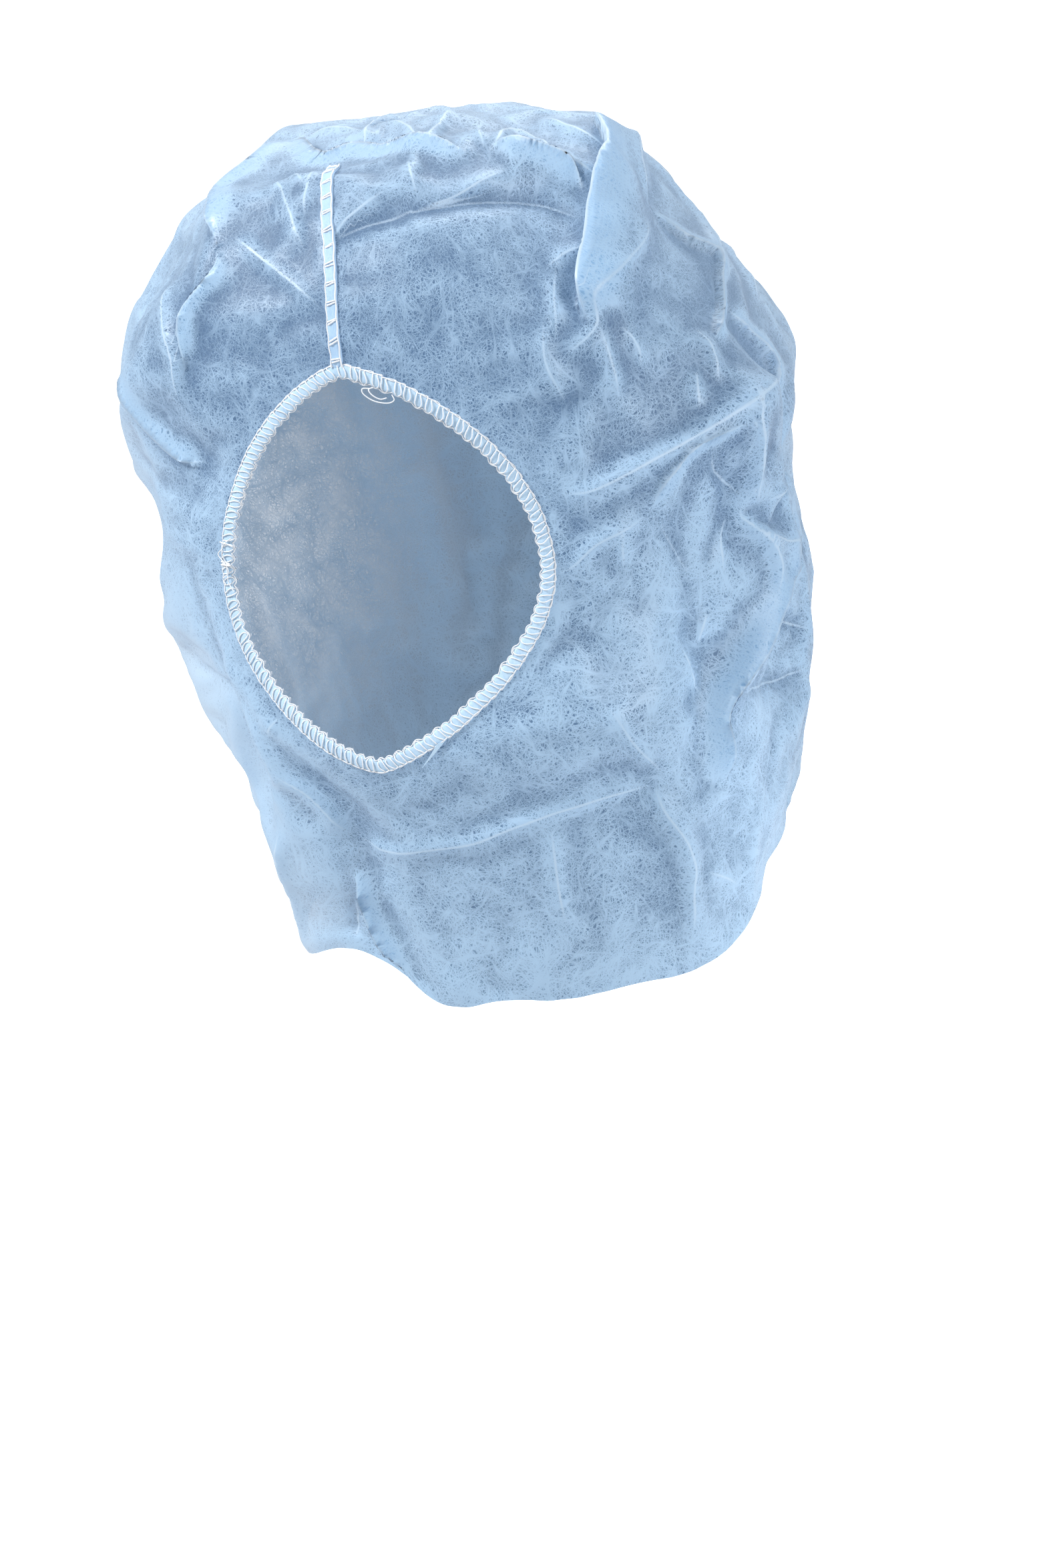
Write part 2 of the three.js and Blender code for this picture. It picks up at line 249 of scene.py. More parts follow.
sideCreases = [
    (((34, 162), (40, 163), (52, 161), (70, 157), (85, 156)), 2.88, 6, 0, 0.67),
    (((68, 161), (58, 163), (54, 167), (50, 171), (48, 176)), 2.38, 5, 0.8, 0.5),
    (((48, 176), (44, 177), (38, 179), (33, 184), (30, 185)), 1.62, 4, 0, 0.55),
    (((72, 153), (69, 160), (70, 172), (71, 185), (72, 189)), 2.5, 4, 0, 0.85),
    (((61, 165), (63, 175), (69, 186)), -2.88, 4, 0, 0.48),
    (((69, 186), (68, 191), (72, 202), (74, 210), (71, 220)), 2.25, 4, 0, 0.7),
    (((95, 187), (84, 186), (73, 188)), 2.88, 4, 0, 0.95),
    (((96, 189), (84, 189), (76, 194)), -2.3, 4, 0, 0.48),
    (((66, 190), (63, 195), (62, 206)), 1.75, 3, 0, 0.7),
    (((69, 195), (76, 203), (86, 208)), 2.3, 4, 0, 0.86),
    (((50, 217), (51, 228), (53, 237)), 1.72, 3, 0, 0.86),
    (((58, 213), (56, 218), (55, 223)), 1.57, 3, 0, 0.67),
    (((33, 225), (36, 239), (41, 254)), 1.5, 4, 0, 0.55),
    (((50, 180), (53, 193), (55, 201)), -1.44, 5, 0, 0.29),
    (((43, 178), (42, 182), (42, 189)), 1.25, 3, 0, 0.4),
    (
        ((53, 268), (55, 255), (55, 246), (58, 240), (65, 232), (76, 217), (87, 211), (97, 204)),
        3.75, 11, 1.6, 0.6,
    ),
    (((74, 225), (91, 240), (97, 247)), -3.16, 5, 0, 0.67),
    (((62, 243), (82, 252), (94, 256)), -2.59, 6, 0, 0.48),
]
jawCreases = [
    (((-16, 263), (-10, 265), (0, 263), (8, 262), (15, 259), (24, 257), (39, 256)), 1.5, 4, 0, 0.7),
    (((39, 255), (40, 265), (43, 276), (44, 286), (43, 295), (43, 309)), 2.12, 5, 0, 0.7),
    (((47, 290), (52, 297), (56, 303)), 1.29, 4, 0, 0.67),
    (((-28, 239), (-22, 245), (-18, 257), (-16, 263)), 2.59, 5, 0, 0.67),
    (((-18, 272), (-17, 288), (-15, 301), (-12, 318)), 3.75, 6, 1.8, 0.5),
    (((-20, 282), (-22, 292), (-23, 302)), -2.59, 4, 0, 0.67),
    (((21, 261), (20, 283), (20, 295)), 1.29, 4, 0, 0.67),
    (((-26, 227), (-24, 223), (-22, 219)), 1.44, 4, 0, 0.67),
    (((-40, 300), (-36, 281), (-32, 260)), 2.59, 5, 0, 0.86),
]
creaseForm = {
    "tip": 0.5,  # mm over which a crest is rounded
    "falloff": 1.6,  # how fast a crease dies away over its width
    "steps": 40,
    "reach": 4.0,  # widths out to which a crease is felt
    "taper": (0.4, 11),  # each end runs out over this share of the line, or over this many mm
    "least": 0.02,  # an end that has run out further than this leaves no mark
    "paleWidth": 0.75,  # of a lapped crease's width
    # a crest's mark is the strength of the painted highlight along it
    "lineReach": 2.6,  # mm out to which a crest keeps its mark
    "lipPale": 0.5,  # least mark of a lap's lip
    "snap": 1.15,  # mm within which vertices are drawn onto a lap's line
    "unmarked": 9.0,  # mm, the distance given to places that no crease marks
}


def placeOnNet(angle, arc):
    column = angle / 360 * net.shape[1]
    first = int(math.floor(column))
    share = column - first
    place = np.zeros(3)
    for index, weight in ((first, 1 - share), (first + 1, share)):
        index %= net.shape[1]
        spot = [np.interp(arc * mm, arcs[:, index], net[:, index, axis]) for axis in range(3)]
        place += weight * np.array(spot)
    return place


def nearness(points, angle, arc, radius):
    # 1 at a place on the net, and less away from it; the radius is in mm
    away = np.linalg.norm(points - placeOnNet(angle, arc), axis=1) / (radius * mm)
    return np.exp(-(away**2))


def curvePlace(a, b, c, d, t):
    # on a curve through four points, t of the way from b to c
    square = (2 * a - 5 * b + 4 * c - d) * t**2
    cube = (3 * b - a - 3 * c + d) * t**3
    return 0.5 * (2 * b + (c - a) * t + square + cube)


def smoothLine(points, steps, fineness=16):
    # a curve through all the points, with steps points spread along it
    points = np.array(points)
    ends = np.vstack([2 * points[0] - points[1], points, 2 * points[-1] - points[-2]])
    line = []
    for i in range(len(points) - 1):
        line += [curvePlace(*ends[i : i + 4], t) for t in np.linspace(0, 1, fineness, endpoint=False)]
    line = np.array(line + [points[-1]])
    run = np.concatenate([[0], np.cumsum(np.linalg.norm(np.diff(line, axis=0), axis=1))])
    even = np.linspace(0, run[-1], steps)
    return np.stack([np.interp(even, run, line[:, axis]) for axis in range(3)], axis=1)


def nearestOnLine(spots, line):
    # for each spot: how far off the line is, how far along it (0 to 1), where, and which way it runs
    best = np.full(len(spots), farAway)
    along = np.zeros(len(spots))
    foot, heading = np.zeros((len(spots), 3)), np.zeros((len(spots), 3))
    for i in range(len(line) - 1):
        step = line[i + 1] - line[i]
        share = np.clip((spots - line[i]) @ step / (step @ step), 0, 1)
        place = line[i] + share[:, None] * step
        away = np.linalg.norm(spots - place, axis=1)
        closer = away < best
        best[closer] = away[closer]
        along[closer] = ((i + share) / (len(line) - 1))[closer]
        foot[closer] = place[closer]
        heading[closer] = step
    return best, along, foot, heading


def creaseCloth(points, normals, rows, form, laps=True):
    # beside the moved points it gives marks: the distance in mm from the nearest line, above 0 on its
    # left, and how strong the painted highlight on its crest is; and the same for the nearest lap and its
    # doubled cloth
    moved = points.copy()
    nearest = {name: np.full(len(points), farAway) for name in ("line", "lap")}
    marks = {name + "Side": np.full(len(points), form["unmarked"]) for name in nearest}
    marks.update({name + "Mark": np.zeros(len(points)) for name in nearest})
    for row in rows:
        crease = dict(zip(creaseColumns, row))
        line = smoothLine([placeOnNet(angle, arc) for angle, arc in crease["along"]], form["steps"])
        line = np.array([netTree.find_nearest(Vector(p))[0] for p in line])
        width = crease["width"] * mm
        low, high = line.min(0) - width * form["reach"], line.max(0) + width * form["reach"]
        near = np.where(((points > low) & (points < high)).all(1))[0]
        spots, normal = points[near], normals[near]
        best, along, foot, heading = nearestOnLine(spots, line)
        left = unit(np.cross(normal, heading))
        side = np.sign(((spots - foot) * left).sum(1))
        lap = crease["lap"] * mm if laps else 0.0
        if lap:  # the nearest vertices are drawn onto the line, so that the lip is clean
            close = best < form["snap"] * mm
            moved[near[close]] += (foot - spots)[close]
            best[close] = 0.0
            side[close] = 1.0
        length = np.linalg.norm(np.diff(line, axis=0), axis=1).sum()
        taper = min(form["taper"][0], form["taper"][1] * mm / length)
        ends = eased(np.clip(np.minimum(along, 1 - along) / taper, 0, 1))
        tip = form["tip"] * mm
        fade = np.exp(-(np.sqrt(best**2 + tip**2) - tip) / width * form["falloff"])
        if lap:
            over = np.where(side > 0, fade, 0)
            moved[near] += normal * (crease["rise"] * mm * ends * over)[:, None]
            moved[near] -= left * (lap * ends * over)[:, None]
        else:
            moved[near] += normal * (crease["rise"] * mm * ends * fade)[:, None]
        strength = max(crease["pale"], form["lipPale"]) if crease["lap"] else crease["pale"]
        shown = {"line": strength * ends * np.exp(-((best / (form["lineReach"] * mm)) ** 2))}
        if crease["lap"]:
            shown["lap"] = crease["pale"] * ends * np.exp(-((best / (form["paleWidth"] * width)) ** 4))
        for name, mark in shown.items():
            closer = (best < nearest[name][near]) & (ends > form["least"])
            nearest[name][near[closer]] = best[closer]
            marks[name + "Side"][near[closer]] = (np.where(best == 0, 0, side) * best / mm)[closer]
            marks[name + "Mark"][near[closer]] = mark[closer]
    return moved, marks


# small crumples: space is folded over flat planes again and again, which leaves facets with crisp edges
crumpleForm = {
    "seed": 11,
    "folds": 12,
    "cuts": (0.35, 0.65),  # share of the cloth on one side of a fold's plane
    "slope": 0.2,
    "floor": 0.25,  # least share, where the sheet lies smooth
    "zones": [  # (angle, arc, radius in mm, share)
        (80, 180, 42, 1.3),
        (60, 225, 30, 0.8),
        (120, 130, 60, 1.0),
        (-60, 120, 50, 1.0),
        (-50, 240, 50, 1.1),
        (-120, 150, 70, 0.7),
        (30, 20, 60, 0.9),
        (180, 80, 80, 0.7),
        (180, 220, 90, 0.7),
        (100, 240, 50, 0.9),
    ],
}


def crumpleHeights(points, form):
    rng = np.random.default_rng(form["seed"])
    folded = points.copy()
    for fold in range(form["folds"]):
        normal = rng.normal(size=3)
        normal /= np.linalg.norm(normal)
        depth = folded @ normal
        cut = np.quantile(depth, rng.uniform(*form["cuts"]))
        folded -= 2 * np.maximum(depth - cut, 0)[:, None] * normal
    lean = rng.normal(size=3)
    heights = folded @ (lean / np.linalg.norm(lean))
    return heights - heights.mean()


def zoneShare(points, form):
    share = np.full(len(points), form["floor"])
    for angle, arc, radius, strength in form["zones"]:
        share = np.maximum(share, strength * nearness(points, angle, arc, radius))
    return share


# the opening's outline, a rounded diamond that leans a little to the wearer's right at the bottom
openingForm = {
    "half": 50.5 * mm,
    "widest": -112 * mm,
    "upperPoint": 1.45,  # above 1, the top comes to a point
    "lowerPoint": 1.6,
    "bottomLean": -7 * mm,  # how far the bottom stands aside
    "bottomRise": 4,  # how late the sides start to lean towards it
    "topLean": -2 * mm,
    "topRise": 8,
    "edgeReach": 2.4 * mm,
}


def openingSides(up, form, shrink=0.0):
    # the middle and the half width of the opening at each height
    top, bottom = edgeHigh.z - form["edgeReach"], edgeLow.z + form["edgeReach"]
    upper = up > form["widest"]
    tall = np.where(upper, top - form["widest"], form["widest"] - bottom) - shrink
    level = np.clip((up - form["widest"]) / tall, -1, 1)
    point = np.where(upper, form["upperPoint"], form["lowerPoint"])
    drop = np.clip((top - up) / (top - bottom), 0, 1)
    middle = form["bottomLean"] * drop ** form["bottomRise"]
    middle = middle + form["topLean"] * (1 - drop) ** form["topRise"]
    return middle, (form["half"] - shrink) * (1 - level**2) ** (point / 2)


def openingOutline(steps, form):
    top, bottom = edgeHigh.z - form["edgeReach"], edgeLow.z + form["edgeReach"]
    turns = np.linspace(0, 2 * math.pi, steps, endpoint=False)
    rise = np.cos(turns)
    up = form["widest"] + rise * np.where(rise > 0, top - form["widest"], form["widest"] - bottom)
    middle, half = openingSides(up, form)
    return middle + half * np.sign(np.sin(turns)), up


def insideOpening(points, form, shrink=0.0):
    middle, half = openingSides(points[:, 2], form, shrink)
    return (np.abs(points[:, 0] - middle) < half) & (points[:, 1] < 0)


# the sheet: a flat grid laid over the net, sewn up at the nape and the crown, creased and crumpled
def netNormals(grid):
    aside = np.roll(grid, -1, 1) - np.roll(grid, 1, 1)
    padded = np.concatenate([grid[:1], grid, 2 * grid[-1:] - grid[-2:-1]])
    normals = unit(np.cross(padded[2:] - padded[:-2], aside))
    normals[0] = (0, 0, 1)
    return normals


def cutOpening(cloth, shrink):
    # the faces inside the opening's outline are deleted
    cut = insideOpening(np.array([p.center for p in cloth.data.polygons]), openingForm, shrink)
    pickOnly(cloth)
    bpy.ops.object.mode_set(mode="EDIT")
    bpy.ops.mesh.select_mode(type="FACE")
    bpy.ops.mesh.select_all(action="DESELECT")
    bpy.ops.object.mode_set(mode="OBJECT")
    cloth.data.polygons.foreach_set("select", cut)
    bpy.ops.object.mode_set(mode="EDIT")
    bpy.ops.mesh.delete(type="FACE")
    bpy.ops.object.mode_set(mode="OBJECT")


def gridCloth(name, laid):
    # a flat grid laid over rows and columns of places; the sides meet at the nape
    rows, columns = laid.shape[:2]
    cloth, flat = newGrid(name, columns, rows - 1)
    column = (np.round((flat[:, 0] + 1) / 2 * columns).astype(int) + columns // 2) % columns
    row = np.round((1 - flat[:, 1]) / 2 * (rows - 1)).astype(int)
    writePoints(cloth, laid[row, column])
    return cloth, row, column


def soften(grid, reaches):
    # a wide blur in a few passes, round the rows and down the columns
    for reach in reaches:
        grid = (np.roll(grid, reach, 1) + 2 * grid + np.roll(grid, -reach, 1)) / 4
        padded = np.concatenate([np.repeat(grid[:1], reach, 0), grid, np.repeat(grid[-1:], reach, 0)])
        grid = (padded[: -2 * reach] + 2 * grid + padded[2 * reach :]) / 4
    return grid


# the cloth is let out a little and settles by simulation: slack gathers in wrinkles between its folds
settleForm = {
    "skip": 3,  # every third row and column takes part
    "frames": 24,
    "quality": 4,
    "slack": 0.085,
    "stretch": 15,
    "shear": 15,
    "bend": 0.2,
    "damping": 0.5,
    "mass": 0.05,
    "hold": 0.5,  # pull of each point on its place
    "holdFrom": 1.5,  # the pull grows as the crumples' share falls short of this
    "holdRange": (0.1, 1),
    "edgeHold": 7 * mm,  # nearer the face opening than this the cloth stays put
    "holdStiffness": 0.02,
    "cap": 7 * mm,
    "smooth": (1, 1),  # reaches of the blur that follows
    "calm": 0.05,  # share of the wrinkles kept where the sheet lies smooth
}


def toFineNet(values, rows, columns, shape):
    # down the columns and then round the rows
    fine = np.empty(shape)
    spots, turns = np.arange(shape[0]), np.arange(shape[1])
    for axis in range(3):
        tall = np.stack([np.interp(spots, rows, values[:, c, axis]) for c in range(len(columns))], 1)
        fine[..., axis] = np.stack([np.interp(turns, columns, line, period=shape[1]) for line in tall])
    return fine


def settleNet(grid, form):
    rows = np.unique(np.append(np.arange(0, grid.shape[0], form["skip"]), grid.shape[0] - 1))
    columns = np.arange(0, grid.shape[1], form["skip"])
    coarse = grid[np.ix_(rows, columns)]
    cloth, row, column = gridCloth("settling", coarse)
    places = cloth.data.attributes.new("place", "INT", "POINT")  # sewing up renumbers the vertices
    places.data.foreach_set("value", row * len(columns) + column)
    sewUp(cloth, sheetMerge)
    cutOpening(cloth, 0.0)
    bpy.ops.object.mode_set(mode="EDIT")
    bpy.ops.mesh.select_all(action="SELECT")
    bpy.ops.mesh.quads_convert_to_tris(quad_method="BEAUTY")  # so that wrinkles don't run along the grid
    bpy.ops.object.mode_set(mode="OBJECT")
    place = np.empty(len(cloth.data.vertices), dtype=np.int32)
    cloth.data.attributes["place"].data.foreach_get("value", place)
    before = readPoints(cloth)
    share = zoneShare(before, crumpleForm)
    pull = np.round(np.clip(form["hold"] * (form["holdFrom"] - share), *form["holdRange"]), 2)
    pull[insideOpening(before, openingForm, -form["edgeHold"])] = 1
    held = cloth.vertex_groups.new(name="held")
    for level in np.unique(pull):
        held.add([int(i) for i in np.where(pull == level)[0]], float(level), "REPLACE")
    settle = cloth.modifiers.new("settle", "CLOTH")
    fabric = settle.settings
    fabric.quality = form["quality"]
    fabric.mass = form["mass"]
    fabric.tension_stiffness = fabric.compression_stiffness = form["stretch"]
    fabric.shear_stiffness = form["shear"]
    fabric.bending_stiffness = form["bend"]
    fabric.bending_damping = form["damping"]
    fabric.vertex_group_mass = "held"
    fabric.pin_stiffness = form["holdStiffness"]
    fabric.shrink_min = -form["slack"]
    fabric.effector_weights.gravity = 0
    settle.point_cache.frame_end = form["frames"]
    for step in range(1, form["frames"] + 1):
        bpy.context.scene.frame_set(step)
    bpy.ops.object.modifier_apply(modifier="settle")
    move = readPoints(cloth) - before
    far = np.linalg.norm(move, axis=1, keepdims=True)
    move *= np.minimum(1, form["cap"] / np.maximum(far, 1e-9))
    print(f"cloth settled, moved by {far.mean() / mm:.2f} and up to {far.max() / mm:.2f} mm")
    bpy.data.objects.remove(cloth)
    bpy.context.scene.frame_set(1)
    shift = np.zeros((len(rows) * len(columns), 3))
    shift[place] = move
    shift = shift.reshape(coarse.shape)
    shift[0] = shift[0].mean(0)
    return soften(toFineNet(shift, rows, columns, grid.shape), form["smooth"])


# the larger swells and hollows: places, how far round them, and how far out and down the cloth goes
swellForm = [  # (angle, arc, radius, out, down) in degrees and mm
    (-61, 163, 24, -8.0, 0), (-72, 133, 18, -4.5, 0), (-92, 48, 20, -7.5, 0), (-104, 30, 16, -1.5, 0),
    (-77, 108, 14, -2.0, 0), (-78, 80, 12, 2.5, 0), (-62, 56, 14, -2.0, 0), (-61, 203, 16, 3.6, 0),
    (112, 58, 22, -4.5, 0), (126, 84, 16, -3.5, 0), (116, 108, 22, -8.8, 0), (108, 134, 16, -4.5, 0),
    (101, 116, 14, -2.2, 0), (138, 92, 14, -1.5, 0), (-31, 307, 9, 0, -2.2),
    (110, 154, 14, -2.2, 0), (94, 198, 14, -1.8, 0), (111, 212, 20, -2.5, 0), (112, 246, 20, -6.5, 0),
    (105, 270, 16, -4.0, 0), (94, 294, 18, -4.2, 0), (74, 313, 14, -3.5, 0), (165, 36, 34, -3.5, 0),
    (-45, 254, 20, -6.5, 0), (-56, 236, 14, -1.6, 0), (-58, 186, 10, 3.0, 0), (-110, 45, 12, 3.5, 0),
    (134, 130, 20, -5.0, 0), (-42, 304, 15, 6.0, 5.0), (-22, 308, 11, -1.0, -6.5), (-14, 311, 8, 0, -4.0),
    (-4, 314, 11, 1.5, 3.5), (30, 322, 16, 0, -3.0),
]


def swell(points, normals, rows):
    # down is the way from row to row of the net
    grid = points.reshape(net.shape)
    down = unit(np.concatenate([grid[1:] - grid[:-1], grid[-1:] - grid[-2:-1]])).reshape(-1, 3)
    moved = points.copy()
    for angle, arc, radius, out, drop in rows:
        share = nearness(points, angle, arc, radius)[:, None]
        moved += share * (normals * out + down * drop) * mm
    return moved


reliefForm = {
    "wide": (1, 2, 4, 8, 16),  # reaches of the blur that holds the outline
    "hold": 0.75,  # share of the wide part taken out of wrinkles
    "near": (1, 2, 3),  # reaches of the blur that ridges and valleys are told from
    "outlineSteps": 600,
    "edgeFade": (2.5 * mm, 9 * mm),  # distances from the opening over which relief dies out
    # ridge, valley and flank: shares of painted highlight on ridges, painted shade in valleys and painted
    # sheen on steep flanks, all in the colour
    "ridge": 0.26,
    "valley": 0.5,
    "flank": 0.9,
    "flankMost": 0.3,
    "depth": 0.6 * mm,  # height over which a ridge or a valley is at its full share
}


def openingFade(points, form):
    across, up = openingOutline(form["outlineSteps"], openingForm)
    start, end = form["edgeFade"]
    fade = np.ones(len(points))
    near = (points[:, 1] < 0) & (np.abs(points[:, 0]) < across.max() + end)
    near = np.where(near & (points[:, 2] < up.max() + end) & (points[:, 2] > up.min() - end))[0]
    away = np.full(len(near), farAway)
    for x, z in zip(across, up):
        away = np.minimum(away, np.hypot(points[near, 0] - x, points[near, 2] - z))
    fade[near] = eased(np.clip((away - start) / (end - start), 0, 1))
    return fade


def creasedNet():
    points = net.reshape(-1, 3)
    normals = netNormals(net).reshape(-1, 3)
    form = reliefForm
    lines = crownCreases + browCreases + pleatCreases + sideCreases + jawCreases
    share = zoneShare(points, crumpleForm)
    heights = crumpleHeights(points, crumpleForm) * crumpleForm["slope"] * share
    heights = heights.reshape(net.shape[:2] + (1,))
    shift = (heights - form["hold"] * soften(heights, form["wide"])) * normals.reshape(net.shape)
    creased, marks = creaseCloth(points, normals, lines, creaseForm)
    loose = creaseCloth(points, normals, lines, creaseForm, laps=False)[0]
    settled = settleNet(loose.reshape(net.shape) + shift, settleForm)
    settled = settled - form["hold"] * soften(settled, form["wide"])
    shift = shift + settled * np.clip(settleForm["calm"] + share, 0, 1).reshape(net.shape[:2] + (1,))
    moved = (creased - points).reshape(net.shape) + shift
    moved = net + moved * openingFade(points, form).reshape(net.shape[:2] + (1,))
    # painted highlight on a ridge and painted sheen on a steep flank make the colour paler there, and
    # painted shade in a valley makes it darker
    base = normals.reshape(net.shape)
    rise = ((moved - net) * base).sum(2, keepdims=True)
    rise = (rise - soften(rise, form["near"]))[..., 0] / form["depth"]
    flank = 1 - np.abs((netNormals(moved) * base).sum(2))
    ridgeLightValleyShade = form["ridge"] * np.clip(rise, 0, 1) + form["valley"] * np.clip(rise, -1, 0)
    ridgeLightValleyShade += np.clip(form["flank"] * flank, 0, form["flankMost"])
    moved += (swell(points, normals, swellForm) - points).reshape(net.shape)
    moved[0] = moved[0].mean(0)
    return moved, marks, ridgeLightValleyShade


# where the sheet's tone is painted paler (above 0) or darker, with painted light on the wearer's right side
# and painted light and shade in small spots by the big pleat among it; and where nothing but the far side
# stands behind it, which is see-through there and painted lighter, a painted glow of light let through
paintForm = {
    "toneAndPaintedLight": [  # (angle, arc, radius in mm, share)
        (18, 84, 56, -0.30), (-26, 96, 40, -0.30), (78, 118, 30, -0.22), (40, 130, 30, -0.10),
        (-56, 215, 38, 0.72), (-44, 262, 36, 0.85), (-66, 150, 26, 0.38), (-75, 100, 26, 0.2),
        (108, 250, 48, 0.02), (78, 285, 38, 0.12), (112, 190, 30, 0.06), (62, 205, 22, 0.12),
        (70, 96, 30, 0.16),
        (40, 215, 48, 0.16), (8, 288, 46, 0.16), (80, 172, 26, -0.12),
        (84, 150, 12, -0.22), (92, 132, 9, -0.25), (96, 168, 11, -0.22), (70, 140, 10, -0.2),
        (90, 146, 7, 0.3), (78, 132, 7, 0.3), (88, 176, 8, 0.3),
    ],
    "hemFullness": 0.32,
    "hemDepth": 17 * mm,
    # see-through zones, also painted lighter as a glow of light let through
    "sheerGlow": [
        (-72, 150, 30, 0.6), (-105, 200, 60, 0.9), (112, 120, 46, 0.5), (180, 30, 70, 0.6),
        (112, 185, 24, 0.4), (-70, 60, 30, 0.3), (-60, 225, 34, 0.9), (-48, 280, 30, 0.7),
    ],
}


def paintZones(points, rows):
    value = np.zeros(len(points))
    for angle, arc, radius, amount in rows:
        value = value + amount * nearness(points, angle, arc, radius)
    return value


sheetForm = {
    "crownArc": 0.078,  # the crown's part of the weave map ends here
    "flatWidth": 0.64,  # the sheet's width round the head: one unit of the weave map
    "crownCentre": (0.5, 0.8),
    "cutInset": 0.4 * mm,  # the ragged cut lies this far inside the serged edge's line
}


def layWeave(sheet, form):
    # the weave map: the side unrolled round the head, and the crown from above
    rows, columns = net.shape[:2]
    weave = sheet.data.uv_layers.active
    weave.name = "weave"
    corners = np.empty(len(sheet.data.loops) * 2)
    weave.data.foreach_get("uv", corners)
    corners = corners.reshape(-1, 2)
    turn = (corners[:, 0] - 0.5) * 2 * math.pi
    cornerRow = np.round((1 - corners[:, 1]) * (rows - 1)).astype(int)
    cornerColumn = (np.round(corners[:, 0] * columns).astype(int) + columns // 2) % columns
    arc = arcs[cornerRow, cornerColumn]
    faceArc = arc.reshape(-1, 4).min(1).repeat(4)
    onCrown = faceArc < form["crownArc"]
    unitSize = form["flatWidth"]
    middle = form["crownCentre"]
    across = np.where(onCrown, middle[0] + arc * np.sin(turn) / unitSize, corners[:, 0])
    down = np.where(onCrown, middle[1] + arc * np.cos(turn) / unitSize, arc / unitSize)
    weave.data.foreach_set("uv", np.stack([across, down], 1).ravel())


def makeSheet(form):
    laid, marks, ridgeLightValleyShade = creasedNet()
    sheet, row, column = gridCloth("hoodSheet", laid)
    flat = net.reshape(-1, 3)
    toHem = (arcs[-1] - arcs).ravel()
    # the painted tone marks: painted light and shade among the paler and darker zones, and paler near the
    # hem
    toneAndPaintedLight = paintZones(flat, paintForm["toneAndPaintedLight"])
    toneAndPaintedLight = toneAndPaintedLight + paintForm["hemFullness"] * np.exp(-((toHem / paintForm["hemDepth"]) ** 2))
    # ridges, valleys and steep flanks add their painted highlight, shade and sheen to the tone marks
    marks["toneAndPaintedLight"] = toneAndPaintedLight + ridgeLightValleyShade.ravel()
    marks["sheerGlow"] = np.clip(paintZones(flat, paintForm["sheerGlow"]), 0, 1)
    for name, values in marks.items():
        field = sheet.data.attributes.new(name, "FLOAT", "POINT")
        field.data.foreach_set("value", values.reshape(net.shape[:2])[row, column])
    layWeave(sheet, form)
    sewUp(sheet, sheetMerge)
    cutOpening(sheet, form["cutInset"])
    bpy.ops.object.shade_smooth()
    return sheet


sheet = makeSheet(sheetForm)
print("sheet", len(sheet.data.vertices), "vertices", len(sheet.data.polygons), "faces")

# threads are curves with a round section, made into meshes
sheetTree = BVHTree.FromPolygons(
    [v.co for v in sheet.data.vertices], [p.vertices for p in sheet.data.polygons]
)


def threadMesh(name, runs, radius, closed=False, sides=1):
    curve = bpy.data.curves.new(name, "CURVE")
    curve.dimensions = "3D"
    curve.bevel_depth = radius
    curve.bevel_resolution = sides
    curve.use_fill_caps = True
    for run in runs:
        spline = curve.splines.new("POLY")
        spline.points.add(len(run) - 1)
        spline.points.foreach_set("co", np.column_stack([run, np.ones(len(run))]).ravel())
        spline.use_cyclic_u = closed
    thread = bpy.data.objects.new(name, curve)
    bpy.context.scene.collection.objects.link(thread)
    pickOnly(thread)
    bpy.ops.object.convert(target="MESH")
    bpy.ops.object.shade_smooth()
    return bpy.context.object


def smoothRing(values, passes):
    for sweep in range(passes):
        values = (np.roll(values, 1, 0) + 2 * values + np.roll(values, -1, 0)) / 4
    return values


def smoothRun(values, passes):
    # the two ends stay where they are
    for sweep in range(passes):
        values[1:-1] = (values[:-2] + 2 * values[1:-1] + values[2:]) / 4
    return values


def valueAt(values, place, closed=True):
    # values of an evenly stepped line at places from 0 to 1
    place = np.asarray(place, float)
    if closed:
        values = np.vstack([values, values[:1]])
        place = place % 1.0
    spot = np.clip(place, 0, 1) * (len(values) - 1)
    first = np.minimum(spot.astype(int), len(values) - 2)
    share = (spot - first)[..., None]
    return values[first] * (1 - share) + values[first + 1] * share


def beside(lines, place, side, above, closed=True):
    # a spot beside a line and above the cloth
    path, normal, outward = lines
    spot = valueAt(path, place, closed) + valueAt(outward, place, closed) * side
    return spot + valueAt(normal, place, closed) * above


# the serged edge of the face opening: a rolled band of cloth, wrapped in overlock stitches
edgeForm = {
    "stitches": 96,
    "stepsPerStitch": 8,
    "sides": 14,
    "halfWidth": 1.95 * mm,
    "halfThick": 0.7 * mm,
    "square": 0.8,  # 1 gives a round section, less a squarer one
    "puff": 0.09,  # swelling between stitches
    "lift": 0.35 * mm,
    "outlineSteps": 2400,
    "front": -0.3,  # rays start from here, before the face
    "smooth": {"depth": 60, "path": 3, "heading": 4, "normal": 120},  # passes
}


